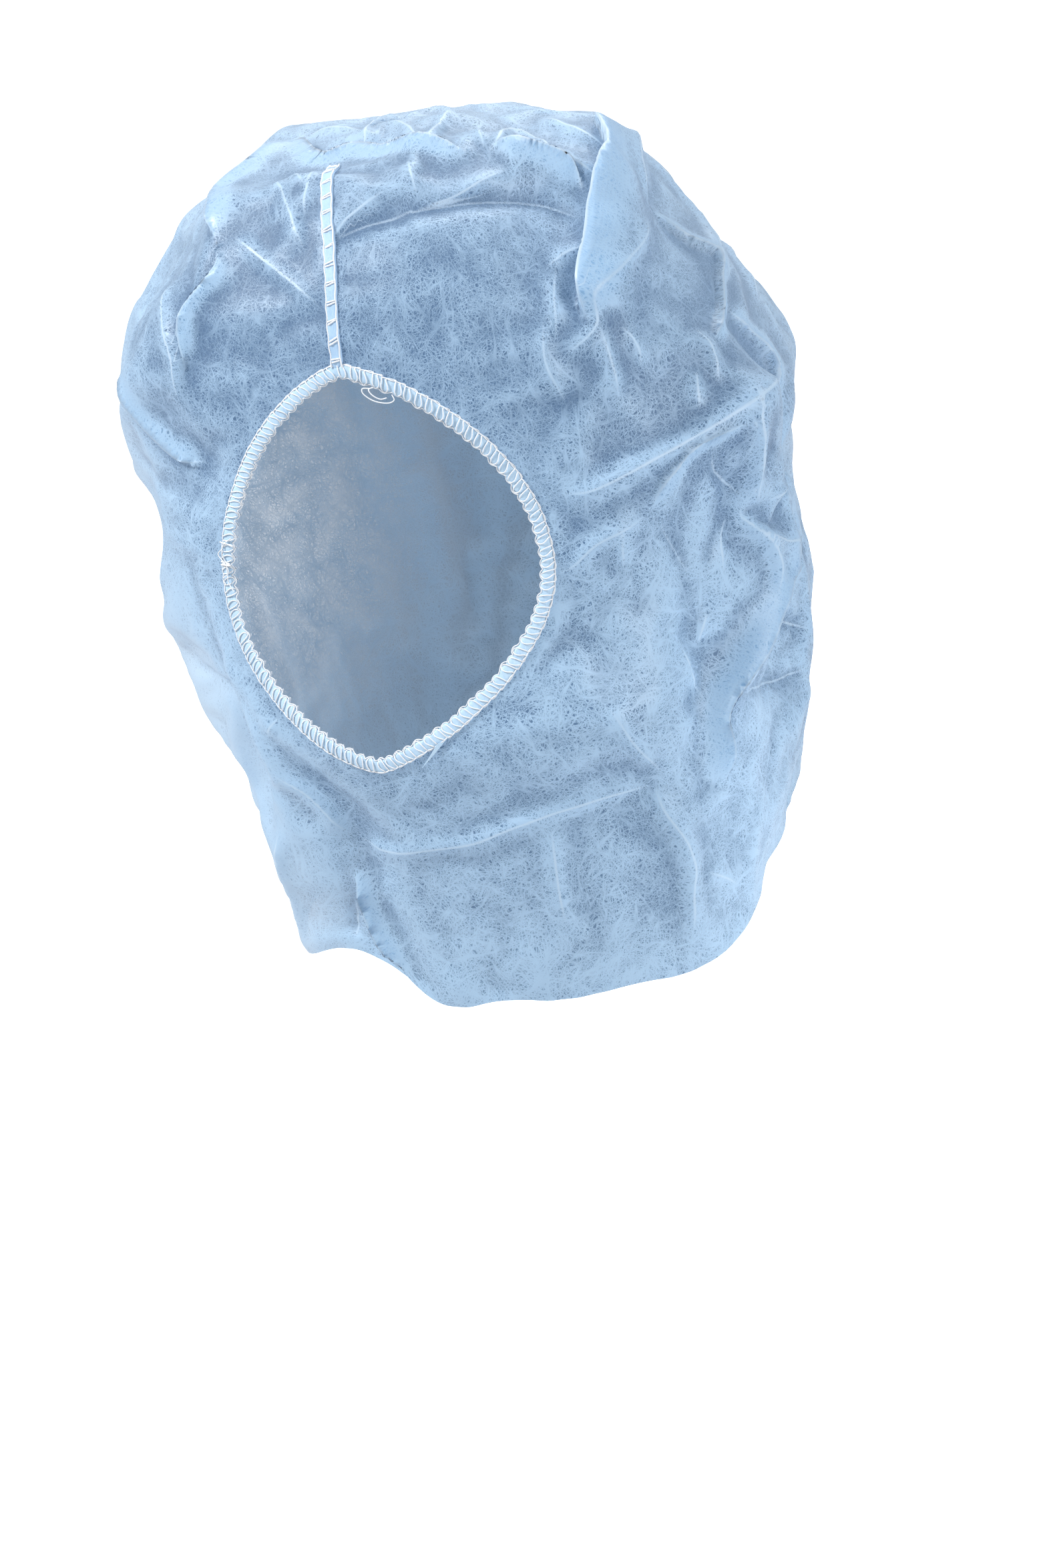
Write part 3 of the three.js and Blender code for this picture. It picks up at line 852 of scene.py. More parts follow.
def edgePath(form):
    across, up = openingOutline(form["outlineSteps"], openingForm)
    ringTree = treeOf("face_edge")
    smooth = form["smooth"]
    line = []
    for x, z in zip(across, up):
        hit = ringTree.ray_cast(Vector((x, form["front"], z)), Vector((0, 1, 0)))
        line.append(hit[0] if hit[0] is not None else Vector((x, math.nan, z)))
    line = np.array(line)
    known = ~np.isnan(line[:, 1])
    spots = np.arange(len(line))
    line[:, 1] = np.interp(spots, spots[known], line[known, 1], period=len(line))
    line[:, 1] = smoothRing(line[:, 1], smooth["depth"])
    run = np.concatenate([[0], np.cumsum(np.linalg.norm(np.roll(line, -1, 0) - line, axis=1))])
    steps = form["stitches"] * form["stepsPerStitch"]
    even = np.linspace(0, run[-1], steps, endpoint=False)
    path = np.stack([np.interp(even, run, np.append(line[:, i], line[0, i])) for i in range(3)], axis=1)
    path = smoothRing(path, smooth["path"])
    heading = unit(smoothRing(np.roll(path, -1, 0) - np.roll(path, 1, 0), smooth["heading"]))
    normal = np.array([netTree.find_nearest(Vector(p))[1] for p in path])
    normal = unit(smoothRing(normal, smooth["normal"]))
    normal = unit(normal - (normal * heading).sum(1, keepdims=True) * heading)
    outward = np.cross(heading, normal)
    if ((path - path.mean(0)) * outward).sum() < 0:
        outward = -outward
    return path, normal, outward


def sweepBand(name, lines, sides, section, closed):
    # a flat grid rolled round a line: section gives the side and rise at a place (0 to 1) and a turn
    path, normal, outward = lines
    steps = len(path) if closed else len(path) - 1
    band, flat = newGrid(name, steps, sides)
    step = np.round((flat[:, 0] + 1) / 2 * steps).astype(int)
    turn = np.round((flat[:, 1] + 1) / 2 * sides) % sides / sides * 2 * math.pi
    side, rise = section(step / steps, turn)
    step = step % len(path)
    writePoints(band, path[step] + outward[step] * side[:, None] + normal[step] * rise[:, None])
    sewUp(band, bandMerge, outwards=True)
    bpy.ops.object.shade_smooth()
    return band


def makeEdge(form, lines):
    def squared(wave):
        return np.sign(wave) * np.abs(wave) ** form["square"]

    def section(place, turn):
        puff = 1 - form["puff"] * np.cos(2 * math.pi * place * form["stitches"])
        side = form["halfWidth"] * squared(np.cos(turn)) * puff
        rise = form["halfThick"] * (squared(np.sin(turn)) * puff - 1)
        return side, rise + form["lift"]

    return sweepBand("edgeBinding", lines, form["sides"], section, True)


stitchForm = {
    "wander": 0.07,  # of a stitch
    "drift": 0.16 * mm,
    "calm": (1.5, 0.4),  # further out than this many mm, only this share of the drift
    "liftWander": 0.15,
    "dome": 2.5,  # the higher, the flatter the band that the threads lie on
    "pieces": 2,  # steps from one place of a table to the next
    "seed": 21,
    # name: radius, then one stitch as places along (in stitches), outwards and above the band (mm)
    "threads": {
        "edgeNeedleThread": (
            0.21 * mm,
            ((0.0, 1.7, -0.05), (0.2, 1.8, 0.26), (0.5, 1.9, 0.34), (0.8, 1.8, 0.26)),
        ),
        "edgeLooperThread": (
            0.2 * mm,
            (
                (0.00, 2.00, 0.12), (0.07, 1.30, 0.26), (0.12, 0.40, 0.30), (0.20, -0.70, 0.29),
                (0.32, -1.60, 0.20), (0.54, -2.15, -0.10), (0.78, -1.75, 0.14), (0.82, -0.80, 0.30),
                (0.68, 0.30, 0.34), (0.48, 1.20, 0.30), (0.42, 1.75, 0.26), (0.70, 2.05, 0.20),
            ),
        ),
        "edgeScallopThread": (
            0.2 * mm,
            (
                (0.06, -1.8, 0.05), (0.22, -2.2, -0.15), (0.45, -2.5, -0.30), (0.70, -2.35, -0.20),
                (0.90, -1.95, 0.0),
            ),
        ),
        "edgeUnderThread": (
            0.2 * mm,
            ((0.0, 1.7, -0.95), (0.3, 0.0, -1.15), (0.5, -2.1, -0.85), (0.7, 0.0, -1.15)),
        ),
    },
}


def makeStitches(form, edge, lines):
    count = edge["stitches"]
    shifts = np.random.default_rng(form["seed"]).normal(size=(count, 3))
    calmFrom, calm = form["calm"]

    def stitchRun(table, below):
        points = []
        for stitch, (wander, drift, height) in enumerate(shifts):
            for step, out, lift in table:
                place = (stitch + step + form["wander"] * wander) / count
                side = out * mm + form["drift"] * drift * (calm if out > calmFrom else 1)
                dome = max(0, 1 - abs(side / edge["halfWidth"]) ** form["dome"]) ** 0.5
                top = edge["halfThick"] * (-1 if below else dome)
                rise = top - edge["halfThick"] + edge["lift"]
                rise += lift * mm * (1 + form["liftWander"] * height)
                points.append(beside(lines, place, side, rise))
        around = [np.roll(np.array(points), turn, 0) for turn in (1, 0, -1, -2)]
        curved = [curvePlace(*around, t) for t in np.arange(form["pieces"]) / form["pieces"]]
        return np.stack(curved, 1).reshape(-1, 3)

    return [
        threadMesh(name, [stitchRun(table, name == "edgeUnderThread")], radius, True)
        for name, (radius, table) in form["threads"].items()
    ]


edgeLines = edgePath(edgeForm)
edgeBinding = makeEdge(edgeForm, edgeLines)
edgeThreads = makeStitches(stitchForm, edgeForm, edgeLines)
print("serged edge", len(edgeBinding.data.polygons), [len(t.data.polygons) for t in edgeThreads])


# the seam up the forehead: a narrow doubled ridge with a ladder of short stitches across it
seamForm = {
    "along": ((-1.2, 115), (-0.8, 104), (-0.5, 93), (-0.9, 83), (-2, 72), (-4, 60), (-8, 48), (-13, 39)),
    "steps": 150,
    "sides": 16,
    "smooth": (6, 12),  # passes over its line and over the way it faces
    "halfWidth": 1.9 * mm,
    "height": 1.0 * mm,
    "dome": 0.35,  # the lower, the flatter its top
    "groove": 0.3 * mm,
    "grooveHalf": 0.9 * mm,
    "sink": 0.5 * mm,
    "endShare": 0.03,
    "lift": 0.2 * mm,  # threads above the band
    "seed": 8,
}
rungForm = {
    "count": 14,
    "radius": 0.26 * mm,
    "before": 0.55,  # gap before the first rung, in rungs
    "spare": 0.3,  # and what is left over in all
    "half": 1.35 * mm,
    "gap": 0.62 * mm,  # between a rung's two strands
    "slant": 0.5 * mm,
    "tilt": 0.3,
    "shift": 0.12 * mm,
    "stretch": 0.08,
    "dip": 2.2,  # how far the ends go down, in lifts
    "steps": 9,
}
railForm = {
    "radius": 0.24 * mm,
    "ends": (0.01, 0.985),
    "side": 1.5 * mm,
    "sideWave": 0.12 * mm,
    "riseWave": 0.08 * mm,
    "stepsPerRung": 12,
}


def seamLines(form):
    linePasses, normalPasses = form["smooth"]
    line = smoothLine([placeOnNet(angle, arc) for angle, arc in form["along"]], form["steps"])
    line = smoothRun(np.array([sheetTree.find_nearest(Vector(p))[0] for p in line]), linePasses)
    normal = smoothRun(np.array([netTree.find_nearest(Vector(p))[1] for p in line]), normalPasses)
    heading = unit(np.gradient(line, axis=0))
    normal = unit(normal - (normal * heading).sum(1, keepdims=True) * heading)
    return line, normal, np.cross(heading, normal)


def makeSeam(form, rungs, rails):
    lines = seamLines(form)

    def crest(side):
        dome = form["height"] * np.clip(1 - (side / form["halfWidth"]) ** 2, 0, 1) ** form["dome"]
        return dome - form["groove"] * np.exp(-((side / form["grooveHalf"]) ** 2))

    def section(place, turn):
        ends = np.clip(np.minimum(place, 1 - place) / form["endShare"], 0, 1) ** 0.5
        side = form["halfWidth"] * np.cos(turn)
        rise = np.where(np.sin(turn) > 0, crest(side), -form["sink"] * np.abs(np.sin(turn)))
        return side * ends, rise * ends

    seam = sweepBand("seamBand", lines, form["sides"], section, False)
    rng = np.random.default_rng(form["seed"])
    length = np.linalg.norm(np.diff(lines[0], axis=0), axis=1).sum()
    across = np.linspace(-1, 1, rungs["steps"])
    rungRuns, railRuns = [], []
    for rung in range(rungs["count"]):
        middle = (rung + rungs["before"]) / (rungs["count"] + rungs["spare"])
        for strand in (-0.5, 0.5):
            shift, tilt, reach = rng.normal(size=3)
            gap = strand * rungs["gap"] + rungs["slant"] * across * (1 + rungs["tilt"] * tilt)
            place = middle + (gap + rungs["shift"] * shift) / length
            side = rungs["half"] * (1 + rungs["stretch"] * reach) * across
            rise = crest(side) + form["lift"] * (1 - rungs["dip"] * np.abs(across) ** 6)
            rungRuns.append(beside(lines, place, side[:, None], rise[:, None], False))
    places = np.linspace(*rails["ends"], rungs["count"] * rails["stepsPerRung"])
    wave = np.sin(places * rungs["count"] * 2 * math.pi)
    for hand in (-1, 1):
        side = hand * (rails["side"] + rails["sideWave"] * wave)
        rise = crest(side) + rails["riseWave"] * wave
        railRuns.append(beside(lines, places, side[:, None], rise[:, None], False))
    threads = [
        threadMesh("seamRungThreads", rungRuns, rungs["radius"]),
        threadMesh("seamRailThreads", railRuns, rails["radius"]),
    ]
    return seam, threads


seamBand, seamThreads = makeSeam(seamForm, rungForm, railForm)


# a loose end of thread at the point of the opening, and a tangle low on one side
looseForm = {
    "radius": 0.18 * mm,
    "steps": 40,
    "turns": (  # place round the edge, outwards and above in mm
        (
            (0.054, -2.0, 0.6), (0.058, -3.2, 0.8), (0.053, -4.8, 1.0), (0.041, -5.6, 1.2),
            (0.030, -4.8, 1.2), (0.027, -3.4, 1.0), (0.034, -2.6, 0.8),
        ),
        (
            (0.036, -2.1, 0.5), (0.033, -3.0, 1.2), (0.038, -4.1, 1.5), (0.046, -4.4, 1.3),
            (0.051, -3.4, 0.9),
        ),
    ),
}
tangleForm = {
    "round": (0.745, 0.80),
    "side": (-3.4, 2.6),
    "above": (0.6, 1.3),
    "strands": 5,
    "knots": 7,
    "steps": 46,
    "seed": 5,
}


def edgePlace(place, side, above):
    return beside(edgeLines, place, side * mm, above * mm)


def makeLooseThreads(form, tangle):
    runs = [smoothLine([edgePlace(*spot) for spot in turn], form["steps"]) for turn in form["turns"]]
    rng = np.random.default_rng(tangle["seed"])
    for strand in range(tangle["strands"]):
        start, end = np.sort(rng.uniform(*tangle["round"], 2))
        spots = []
        for share in np.linspace(0, 1, tangle["knots"]):
            side = rng.uniform(*tangle["side"])
            spots.append(edgePlace(start + (end - start) * share, side, rng.uniform(*tangle["above"])))
        runs.append(smoothLine(spots, tangle["steps"]))
    return threadMesh("looseThreads", runs, form["radius"])


looseThreads = makeLooseThreads(looseForm, tangleForm)


# a small pointed scrap of cloth that the serging left at the foot of the opening
scrapForm = {
    "grid": (6, 8),
    "round": (0.452, 0.482),  # its root and its tip, round the edge
    "reach": (1.6, 5.2),  # and outwards in mm
    "width": 0.014,  # of the way round the edge
    "taper": 1.2,
    "above": 0.35,  # mm
    "tilt": 0.25,  # mm from one side to its middle
    "thick": 0.2 * mm,
}


def makeScrap(form):
    scrap, flat = newGrid("edgeScrap", *form["grid"])
    x, run = flat[:, 0], (flat[:, 1] + 1) / 2
    root, tip = form["round"]
    near, far = form["reach"]
    place = root + (tip - root) * run + x * form["width"] / 2 * (1 - run) ** form["taper"]
    side = near + (far - near) * run
    above = form["above"] + form["tilt"] * x * (1 - run)
    writePoints(scrap, edgePlace(place, side[:, None], above[:, None]))
    pickOnly(scrap)
    thick = scrap.modifiers.new("thick", "SOLIDIFY")
    thick.thickness = form["thick"]
    bpy.ops.object.modifier_apply(modifier="thick")
    sewUp(scrap, bandMerge, outwards=True)
    return scrap


edgeScrap = makeScrap(scrapForm)
print("seam and loose ends made")


# materials. One group lays a web of fine fibres and the dots that bond them; each cloth uses it
def newGroup(name, inputs, outputs):
    group = bpy.data.node_groups.new(name, "ShaderNodeTree")
    for label, kind in inputs:
        group.interface.new_socket(name=label, in_out="INPUT", socket_type="NodeSocket" + kind)
    for label, kind in outputs:
        group.interface.new_socket(name=label, in_out="OUTPUT", socket_type="NodeSocket" + kind)
    return group, group.nodes.new("NodeGroupInput"), group.nodes.new("NodeGroupOutput")


def addNode(tree, kind, settings=None, **links):
    # i7 stands for the input of that number, any other name for the input of that name
    node = tree.nodes.new("ShaderNode" + kind)
    for key, value in (settings or {}).items():
        setattr(node, key, value)
    for key, value in links.items():
        socket = node.inputs[int(key[1:])] if key[1:].isdigit() else node.inputs[key.replace("_", " ")]
        if isinstance(value, bpy.types.NodeSocket):
            tree.links.new(value, socket)
        else:
            socket.default_value = value
    return node


def mathNode(tree, operation, a, b=0.0, clamp=False):
    return addNode(tree, "Math", {"operation": operation, "use_clamp": clamp}, i0=a, i1=b).outputs[0]


def vectorNode(tree, operation, **links):
    return addNode(tree, "VectorMath", {"operation": operation}, **links).outputs[0]


def rangeNode(tree, value, given=(0.0, 1.0), to=(0.0, 1.0), kind="LINEAR"):
    ends = {"From_Min": given[0], "From_Max": given[1], "To_Min": to[0], "To_Max": to[1]}
    return addNode(tree, "MapRange", {"interpolation_type": kind}, Value=value, **ends).outputs[0]


def flatNoise(tree, place, scale, detail):
    return addNode(tree, "TexNoise", {"noise_dimensions": "2D"}, Vector=place, Scale=scale, Detail=detail)


def mixColours(tree, share, first, second):
    return addNode(tree, "Mix", {"data_type": "RGBA"}, i0=share, i6=first, i7=second).outputs[2]


def addBump(tree, shader, height, strength, depth):
    bump = addNode(tree, "Bump", Height=height, Strength=strength, Distance=depth)
    tree.links.new(bump.outputs[0], shader.inputs["Normal"])


fibreForm = {
    "turns": (8, 44, 80, 117, 155),  # degrees that the fibres' layers lie at
    "shift": (0.37, 0.11),  # from layer to layer, so that no two are alike
    "length": 0.06,  # how far each fibre is drawn out: smaller is longer
    "scale": 560,
    "thin": 12.0,  # sharpness of a fibre
    "strength": 0.8,
    "warpScale": 130,
    "warp": 0.0016,
    "cells": ((1150, 0.20, 0.8), (740, 0.13, 1.0)),  # scale, width of a strand, strength
    "cellWarpScale": 900,
    "cellWarp": 0.00055,
    "dotPitch": 1.02 * mm,
    "dotRates": (0.62, 0.78),  # across and down
    "dotEdge": (0.45, 0.75),
    "cloudScale": 150,
}


def makeFibreGroup(form):
    outputs = [(name, "Float") for name in ("Web", "Dots", "Cloud")]
    group, given, out = newGroup("fibreWeb", [("Vector", "Vector")], outputs)
    place = given.outputs["Vector"]

    def warped(start, scale, amount):
        noise = flatNoise(group, start, scale, 1.0)
        centred = vectorNode(group, "SUBTRACT", i0=noise.outputs["Color"], i1=(0.5, 0.5, 0.5))
        pushed = vectorNode(group, "SCALE", i0=centred, Scale=amount * 2)
        return vectorNode(group, "ADD", i0=start, i1=pushed)

    bent = warped(place, form["warpScale"], form["warp"])
    web = None
    for index, turn in enumerate(form["turns"]):
        aside = (form["shift"][0] * index, form["shift"][1] * index, 0)
        turned = addNode(group, "Mapping", Vector=bent, Rotation=(0, 0, math.radians(turn)), Location=aside)
        drawn = addNode(group, "Mapping", Vector=turned.outputs[0], Scale=(form["length"], 1, 1))
        noise = flatNoise(group, drawn.outputs[0], form["scale"], 0.0)
        away = mathNode(group, "ABSOLUTE", mathNode(group, "SUBTRACT", noise.outputs[0], 0.5))
        fibre = mathNode(group, "SUBTRACT", 1.0, mathNode(group, "MULTIPLY", away, form["thin"]), True)
        fibre = mathNode(group, "MULTIPLY", fibre, form["strength"])
        web = fibre if web is None else mathNode(group, "MAXIMUM", web, fibre)
    tangled = warped(bent, form["cellWarpScale"], form["cellWarp"])
    edges = {"voronoi_dimensions": "2D", "feature": "DISTANCE_TO_EDGE"}
    for scale, width, strength in form["cells"]:
        cell = addNode(group, "TexVoronoi", edges, Vector=tangled, Scale=scale)
        strand = rangeNode(group, cell.outputs["Distance"], (0.0, width), (strength, 0.0))
        web = mathNode(group, "MAXIMUM", web, strand)
    group.links.new(web, out.inputs["Web"])
    axes = addNode(group, "SeparateXYZ", Vector=place)
    rate = 2 * math.pi / form["dotPitch"]
    waves = [
        mathNode(group, "COSINE", mathNode(group, "MULTIPLY", axes.outputs[axis], rate * share))
        for axis, share in enumerate(form["dotRates"])
    ]
    lattice = mathNode(group, "MULTIPLY", waves[0], waves[1])
    dots = rangeNode(group, lattice, form["dotEdge"], kind="SMOOTHSTEP")
    group.links.new(dots, out.inputs["Dots"])
    cloud = flatNoise(group, place, form["cloudScale"], 3.0)
    group.links.new(cloud.outputs[0], out.inputs["Cloud"])
    return group


fibreGroup = makeFibreGroup(fibreForm)

clothForm = {
    # gap: painted shade, the dark of the shaded inside seen through the gaps between the fibres and through
    # the pressed dots
    "gap": (0.05, 0.105, 0.20, 1),  # between the fibres
    "fibre": (0.46, 0.645, 0.83, 1),
    "double": (0.20, 0.42, 0.69, 1),  # between the fibres where the cloth lies doubled
    "doubleFibre": (0.50, 0.70, 0.89, 1),
    # inside: painted shade on the inner face, where the hood's inside lies in shade
    "inside": 0.55,  # the inner face is this much of the outer one's brightness
    "roughness": (0.36, 0.56),  # of fibres and of gaps
    "fill": 0.62,  # how far fullness closes the gaps
    "spread": (0.10, 0.90),  # cover that counts as none and as whole
    "overlay": 0.78,
    "overlayToneAndLight": 0.5,
    "dots": 0.16,  # the pressed dots, where the cloth lies doubled
    "cloud": 0.09,
    "cloudRange": (0.3, 0.7),
    "lip": (-0.15, 0.1),  # mm from a lap's line over which its doubled band starts
    # crest: where a fold's painted highlight ends
    "crest": (0.08, 0.55),  # mm from a fold's line over which its bright crest ends
    # paintedLight: how far see-through places go to the light colour, a painted glow of light let through,
    # and how far crests go, a painted highlight
    "paintedLight": (0.7, 0.72),  # how far sheer places and crests go to the light colour
    # light: the colour of that painted glow and highlight
    "light": (0.72, 0.84, 0.94, 1),
    "holes": 0.35,  # see-through of the gaps, where only the far side stands behind
    "thin": 0.06,
    "glow": 0.30,  # share of light let through
    "glowColour": (0.45, 0.66, 0.90, 1),
    "bump": 0.35,
    "bumpDepth": 0.25 * mm,
    "relief": (0.22, 0.16),  # how far fibres stand up and dots go in, beside the crinkle
    "creaseScale": 75,
    "specular": 0.5,
    "sheen": 0.15,
}


def newMaterial(name):
    material = bpy.data.materials.new(name)
    material.use_nodes = True
    tree = material.node_tree
    return material, tree, tree.nodes["Principled BSDF"]


def makeHoodCloth(form):
    material, tree, shader = newMaterial("hoodCloth")
    weave = addNode(tree, "UVMap", {"uv_map": "weave"})
    size = sheetForm["flatWidth"]
    place = addNode(tree, "Mapping", Vector=weave.outputs[0], Scale=(size, size, size)).outputs[0]
    web = addNode(tree, "Group", {"node_tree": fibreGroup}, Vector=place)
    marks = {
        name: addNode(tree, "Attribute", {"attribute_name": name}).outputs["Fac"]
        for name in ("toneAndPaintedLight", "sheerGlow", "lapSide", "lapMark", "lineSide", "lineMark")
    }
    # how far the fibres cover the cloth: raised by the painted tone, light and shade marks, by a painted
    # highlight along crests, and where a lap doubles it
    band = mathNode(tree, "MULTIPLY", marks["lapMark"], rangeNode(tree, marks["lapSide"], form["lip"]))
    # crest: a painted highlight along each fold's crest line
    away = mathNode(tree, "ABSOLUTE", marks["lineSide"])
    crest = rangeNode(tree, away, form["crest"], (1.0, 0.0), "SMOOTHSTEP")
    crest = mathNode(tree, "MULTIPLY", marks["lineMark"], crest)
    toneAndPaintedLight = mathNode(tree, "ADD", mathNode(tree, "ADD", marks["toneAndPaintedLight"], band), crest)
    cloud = rangeNode(tree, web.outputs["Cloud"], form["cloudRange"], (-form["cloud"], form["cloud"]))
    cover = mathNode(tree, "ADD", web.outputs["Web"], cloud)
    cover = mathNode(tree, "ADD", cover, mathNode(tree, "MULTIPLY", toneAndPaintedLight, form["fill"]))
    cover = rangeNode(tree, cover, form["spread"])
    # colour: the web over the painted shade of its gaps, doubled cloth over it, then the painted highlight
    # of crests and the painted glow of see-through places, and painted shade on the inner face
    colour = mixColours(tree, cover, form["gap"], form["fibre"])
    pressed = mathNode(tree, "MULTIPLY", web.outputs["Dots"], form["dots"])
    thick = mixColours(tree, web.outputs["Web"], form["double"], form["doubleFibre"])
    thick = mixColours(tree, pressed, thick, form["gap"])
    # the painted tone, light and shade marks, at half share, also lay the doubled cloth's colours over the
    # web, as a lap does
    doubled = mathNode(tree, "MULTIPLY", marks["toneAndPaintedLight"], form["overlayToneAndLight"])
    doubled = mathNode(tree, "ADD", band, doubled, True)
    colour = mixColours(tree, mathNode(tree, "MULTIPLY", doubled, form["overlay"]), colour, thick)
    # painted glow at see-through places and painted highlight on crests
    sheerLight, crestLight = form["paintedLight"]
    lit = mathNode(tree, "MULTIPLY", marks["sheerGlow"], sheerLight)
    lit = mathNode(tree, "ADD", lit, mathNode(tree, "MULTIPLY", crest, crestLight), True)
    colour = mixColours(tree, lit, colour, form["light"])
    # painted shade on the inner face, kept off the crest lines
    inner = addNode(tree, "NewGeometry").outputs["Backfacing"]
    inner = mathNode(tree, "MULTIPLY", inner, mathNode(tree, "SUBTRACT", 1.0, marks["lineMark"], True))
    shade = mathNode(tree, "SUBTRACT", 1.0, mathNode(tree, "MULTIPLY", inner, 1 - form["inside"]))
    colour = vectorNode(tree, "SCALE", i0=colour, Scale=shade)
    tree.links.new(colour, shader.inputs["Base Color"])
    smooth, rough = form["roughness"]
    tree.links.new(rangeNode(tree, cover, to=(rough, smooth)), shader.inputs["Roughness"])
    holes = mathNode(tree, "MULTIPLY", mathNode(tree, "SUBTRACT", 1.0, cover), form["holes"])
    holes = mathNode(tree, "ADD", holes, form["thin"])
    alpha = mathNode(tree, "SUBTRACT", 1.0, mathNode(tree, "MULTIPLY", holes, marks["sheerGlow"]), True)
    tree.links.new(alpha, shader.inputs["Alpha"])
    crinkle = flatNoise(tree, place, form["creaseScale"], 5.0)
    raised, sunk = form["relief"]
    height = mathNode(tree, "MULTIPLY", web.outputs["Web"], raised)
    height = mathNode(tree, "ADD", height, crinkle.outputs[0])
    height = mathNode(tree, "SUBTRACT", height, mathNode(tree, "MULTIPLY", web.outputs["Dots"], sunk))
    addBump(tree, shader, height, form["bump"], form["bumpDepth"])
    shader.inputs["Specular IOR Level"].default_value = form["specular"]
    shader.inputs["Sheen Weight"].default_value = form["sheen"]
    glow = addNode(tree, "BsdfTranslucent", Color=form["glowColour"])
    mix = addNode(tree, "MixShader", i0=form["glow"], i1=shader.outputs[0], i2=glow.outputs[0])
    tree.links.new(mix.outputs[0], tree.nodes["Material Output"].inputs["Surface"])
    return material


# the smaller pieces: mottled between two tones, in doubled cloth with the fibre web as well
edgeClothForm = {
    "colour": (0.50, 0.68, 0.85, 1), "shade": (0.36, 0.54, 0.75, 1), "noise": (260.0, 3.0), "fibre": 0.5,
    "roughness": 0.55, "sheen": 0.15, "bump": 0.5, "bumpDepth": 0.15 * mm,
}
seamClothForm = {**edgeClothForm, "colour": (0.40, 0.58, 0.79, 1), "shade": (0.28, 0.45, 0.68, 1)}
threadForm = {
    "colour": (0.84, 0.86, 0.89, 1), "shade": (0.64, 0.68, 0.73, 1), "noise": (2600.0, 2.0), "fibre": 0,
    "roughness": 0.6, "sheen": 0.3, "bump": 0.5, "bumpDepth": 0.1 * mm,
}


def makeMottled(name, form):
    material, tree, shader = newMaterial(name)
    place = addNode(tree, "TexCoord").outputs["Object"]
    scale, detail = form["noise"]
    tone = addNode(tree, "TexNoise", Vector=place, Scale=scale, Detail=detail).outputs[0]
    if form["fibre"]:
        web = addNode(tree, "Group", {"node_tree": fibreGroup}, Vector=place).outputs["Web"]
        tone = mathNode(tree, "ADD", mathNode(tree, "MULTIPLY", web, form["fibre"]), tone, True)
    tree.links.new(mixColours(tree, tone, form["shade"], form["colour"]), shader.inputs["Base Color"])
    addBump(tree, shader, tone, form["bump"], form["bumpDepth"])
    shader.inputs["Roughness"].default_value = form["roughness"]
    shader.inputs["Sheen Weight"].default_value = form["sheen"]
    return material


hoodCloth = makeHoodCloth(clothForm)
edgeCloth = makeMottled("edgeCloth", edgeClothForm)
seamCloth = makeMottled("seamCloth", seamClothForm)
threadMaterial = makeMottled("overlockThread", threadForm)
print("materials made")

pieces = [
    (sheet, hoodCloth, "hood_cloth", "hood"),
    (edgeBinding, edgeCloth, "edge_binding", "face_edge"),
    (edgeScrap, edgeCloth, "edge_binding", None),
    (seamBand, seamCloth, "seam_cloth", "front_seam"),
    (looseThreads, threadMaterial, "white_thread", None),
]
pieces += [(thread, threadMaterial, "white_thread", None) for thread in edgeThreads + seamThreads]
for piece, material, slotName, node in pieces:
    piece.data.materials.clear()
    piece.data.materials.append(material)
    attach(piece, "root")
    if node:
        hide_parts(node)

# floor, light and camera
floorForm = {
    "below": 0.42, "radius": 18.0, "sides": 96, "colour": (0.80, 0.80, 0.81, 1), "roughness": 0.9,
    "glare": (1, 1, 1, 1),  # what the camera alone sees of it
}
bpy.ops.object.select_all(action="DESELECT")
bpy.ops.mesh.primitive_circle_add(
    vertices=floorForm["sides"], radius=floorForm["radius"], fill_type="NGON",
    location=(0, 0, hoodLow.z - floorForm["below"]),
)
floor = bpy.context.object
floor.name = "floor"
floorMaterial, floorTree, floorShader = newMaterial("paleFloor")
floorShader.inputs["Base Color"].default_value = floorForm["colour"]
floorShader.inputs["Roughness"].default_value = floorForm["roughness"]
floorShader.inputs["Emission Color"].default_value = floorForm["glare"]
glare = addNode(floorTree, "LightPath").outputs["Is Camera Ray"]
floorTree.links.new(glare, floorShader.inputs["Emission Strength"])
floor.data.materials.append(floorMaterial)

cameraForm = {
    "turn": 21.0, "raise": 16.0, "distance": 1.6, "lens": 119, "sensor": 36, "farthest": 60,
    "around": (0, 0, -0.117), "aim": (0.00537, -0.02942, -0.2014), "lean": 12.06,
}


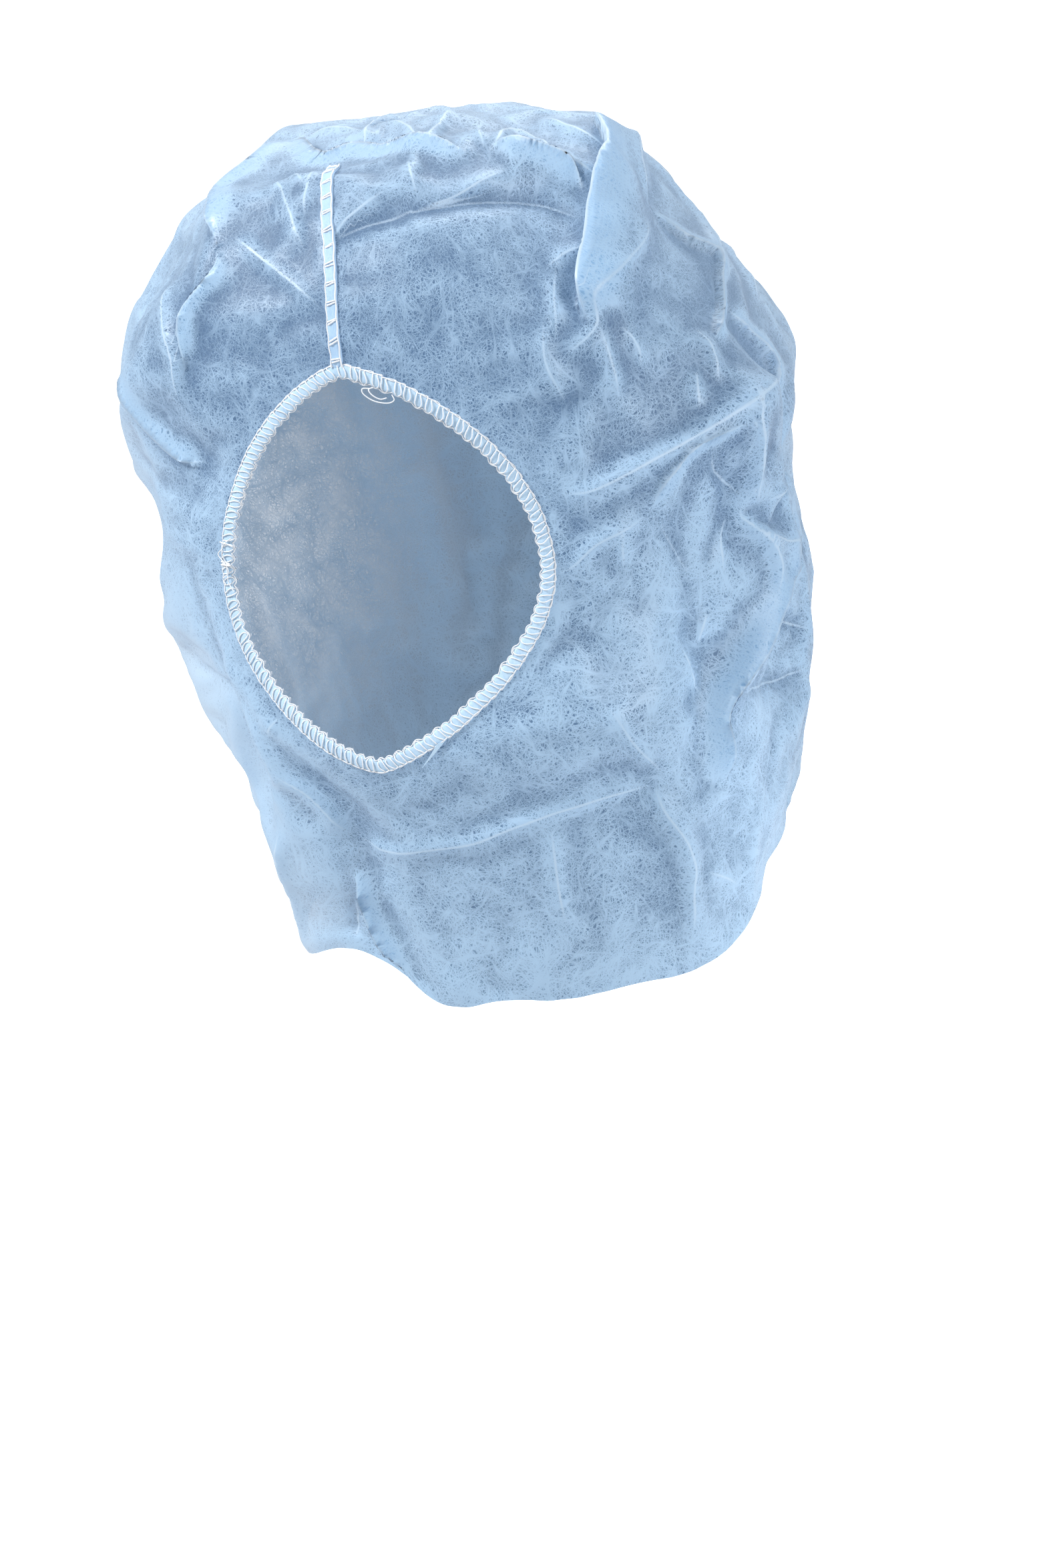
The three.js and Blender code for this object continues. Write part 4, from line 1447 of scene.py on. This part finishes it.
def makeCamera(form):
    turn, raised = math.radians(form["turn"]), math.radians(form["raise"])
    flat = math.cos(raised)
    back = Vector((math.sin(turn) * flat, -math.cos(turn) * flat, math.sin(raised)))
    camera = bpy.data.objects.new("camera", bpy.data.cameras.new("camera"))
    bpy.context.scene.collection.objects.link(camera)
    camera.location = Vector(form["around"]) + back * form["distance"]
    look = (Vector(form["aim"]) - camera.location).to_track_quat("-Z", "Y")
    camera.rotation_mode = "QUATERNION"
    camera.rotation_quaternion = look @ Quaternion((0, 0, 1), math.radians(-form["lean"]))
    camera.data.lens = form["lens"]
    camera.data.sensor_width = form["sensor"]
    camera.data.clip_end = form["farthest"]
    bpy.context.scene.camera = camera
    return camera


camera = makeCamera(cameraForm)

lights = {
    # name: (to the camera's right, up, towards the camera), size, watts
    "keyLight": ((-1.25, 0.85, 0.75), 0.40, 30),
    "fillLight": ((1.3, 0.2, 1.0), 1.0, 15),
    "topLight": ((0.2, 1.7, -0.5), 1.0, 14),
}


def makeLights(rows):
    turnedBy = camera.rotation_quaternion.to_matrix()
    middle = Vector(cameraForm["around"])
    for name, (place, size, watts) in rows.items():
        lamp = bpy.data.lights.new(name, "AREA")
        lamp.shape = "DISK"
        lamp.size = size
        lamp.energy = watts
        light = bpy.data.objects.new(name, lamp)
        bpy.context.scene.collection.objects.link(light)
        light.location = middle + turnedBy @ Vector(place)
        light.rotation_mode = "QUATERNION"
        light.rotation_quaternion = (middle - light.location).to_track_quat("-Z", "Y")


makeLights(lights)

studioForm = {"light": 0.45, "seen": 1.0, "colour": (0.97, 0.985, 1, 1)}
world = bpy.data.worlds.new("studio")
bpy.context.scene.world = world
world.use_nodes = True
studio = world.node_tree
seen = addNode(studio, "LightPath").outputs["Is Camera Ray"]
level = rangeNode(studio, seen, to=(studioForm["light"], studioForm["seen"]))
studio.links.new(level, studio.nodes["Background"].inputs["Strength"])
studio.nodes["Background"].inputs["Color"].default_value = studioForm["colour"]
bpy.context.scene.view_settings.view_transform = "Standard"
print("floor, camera and lights set")
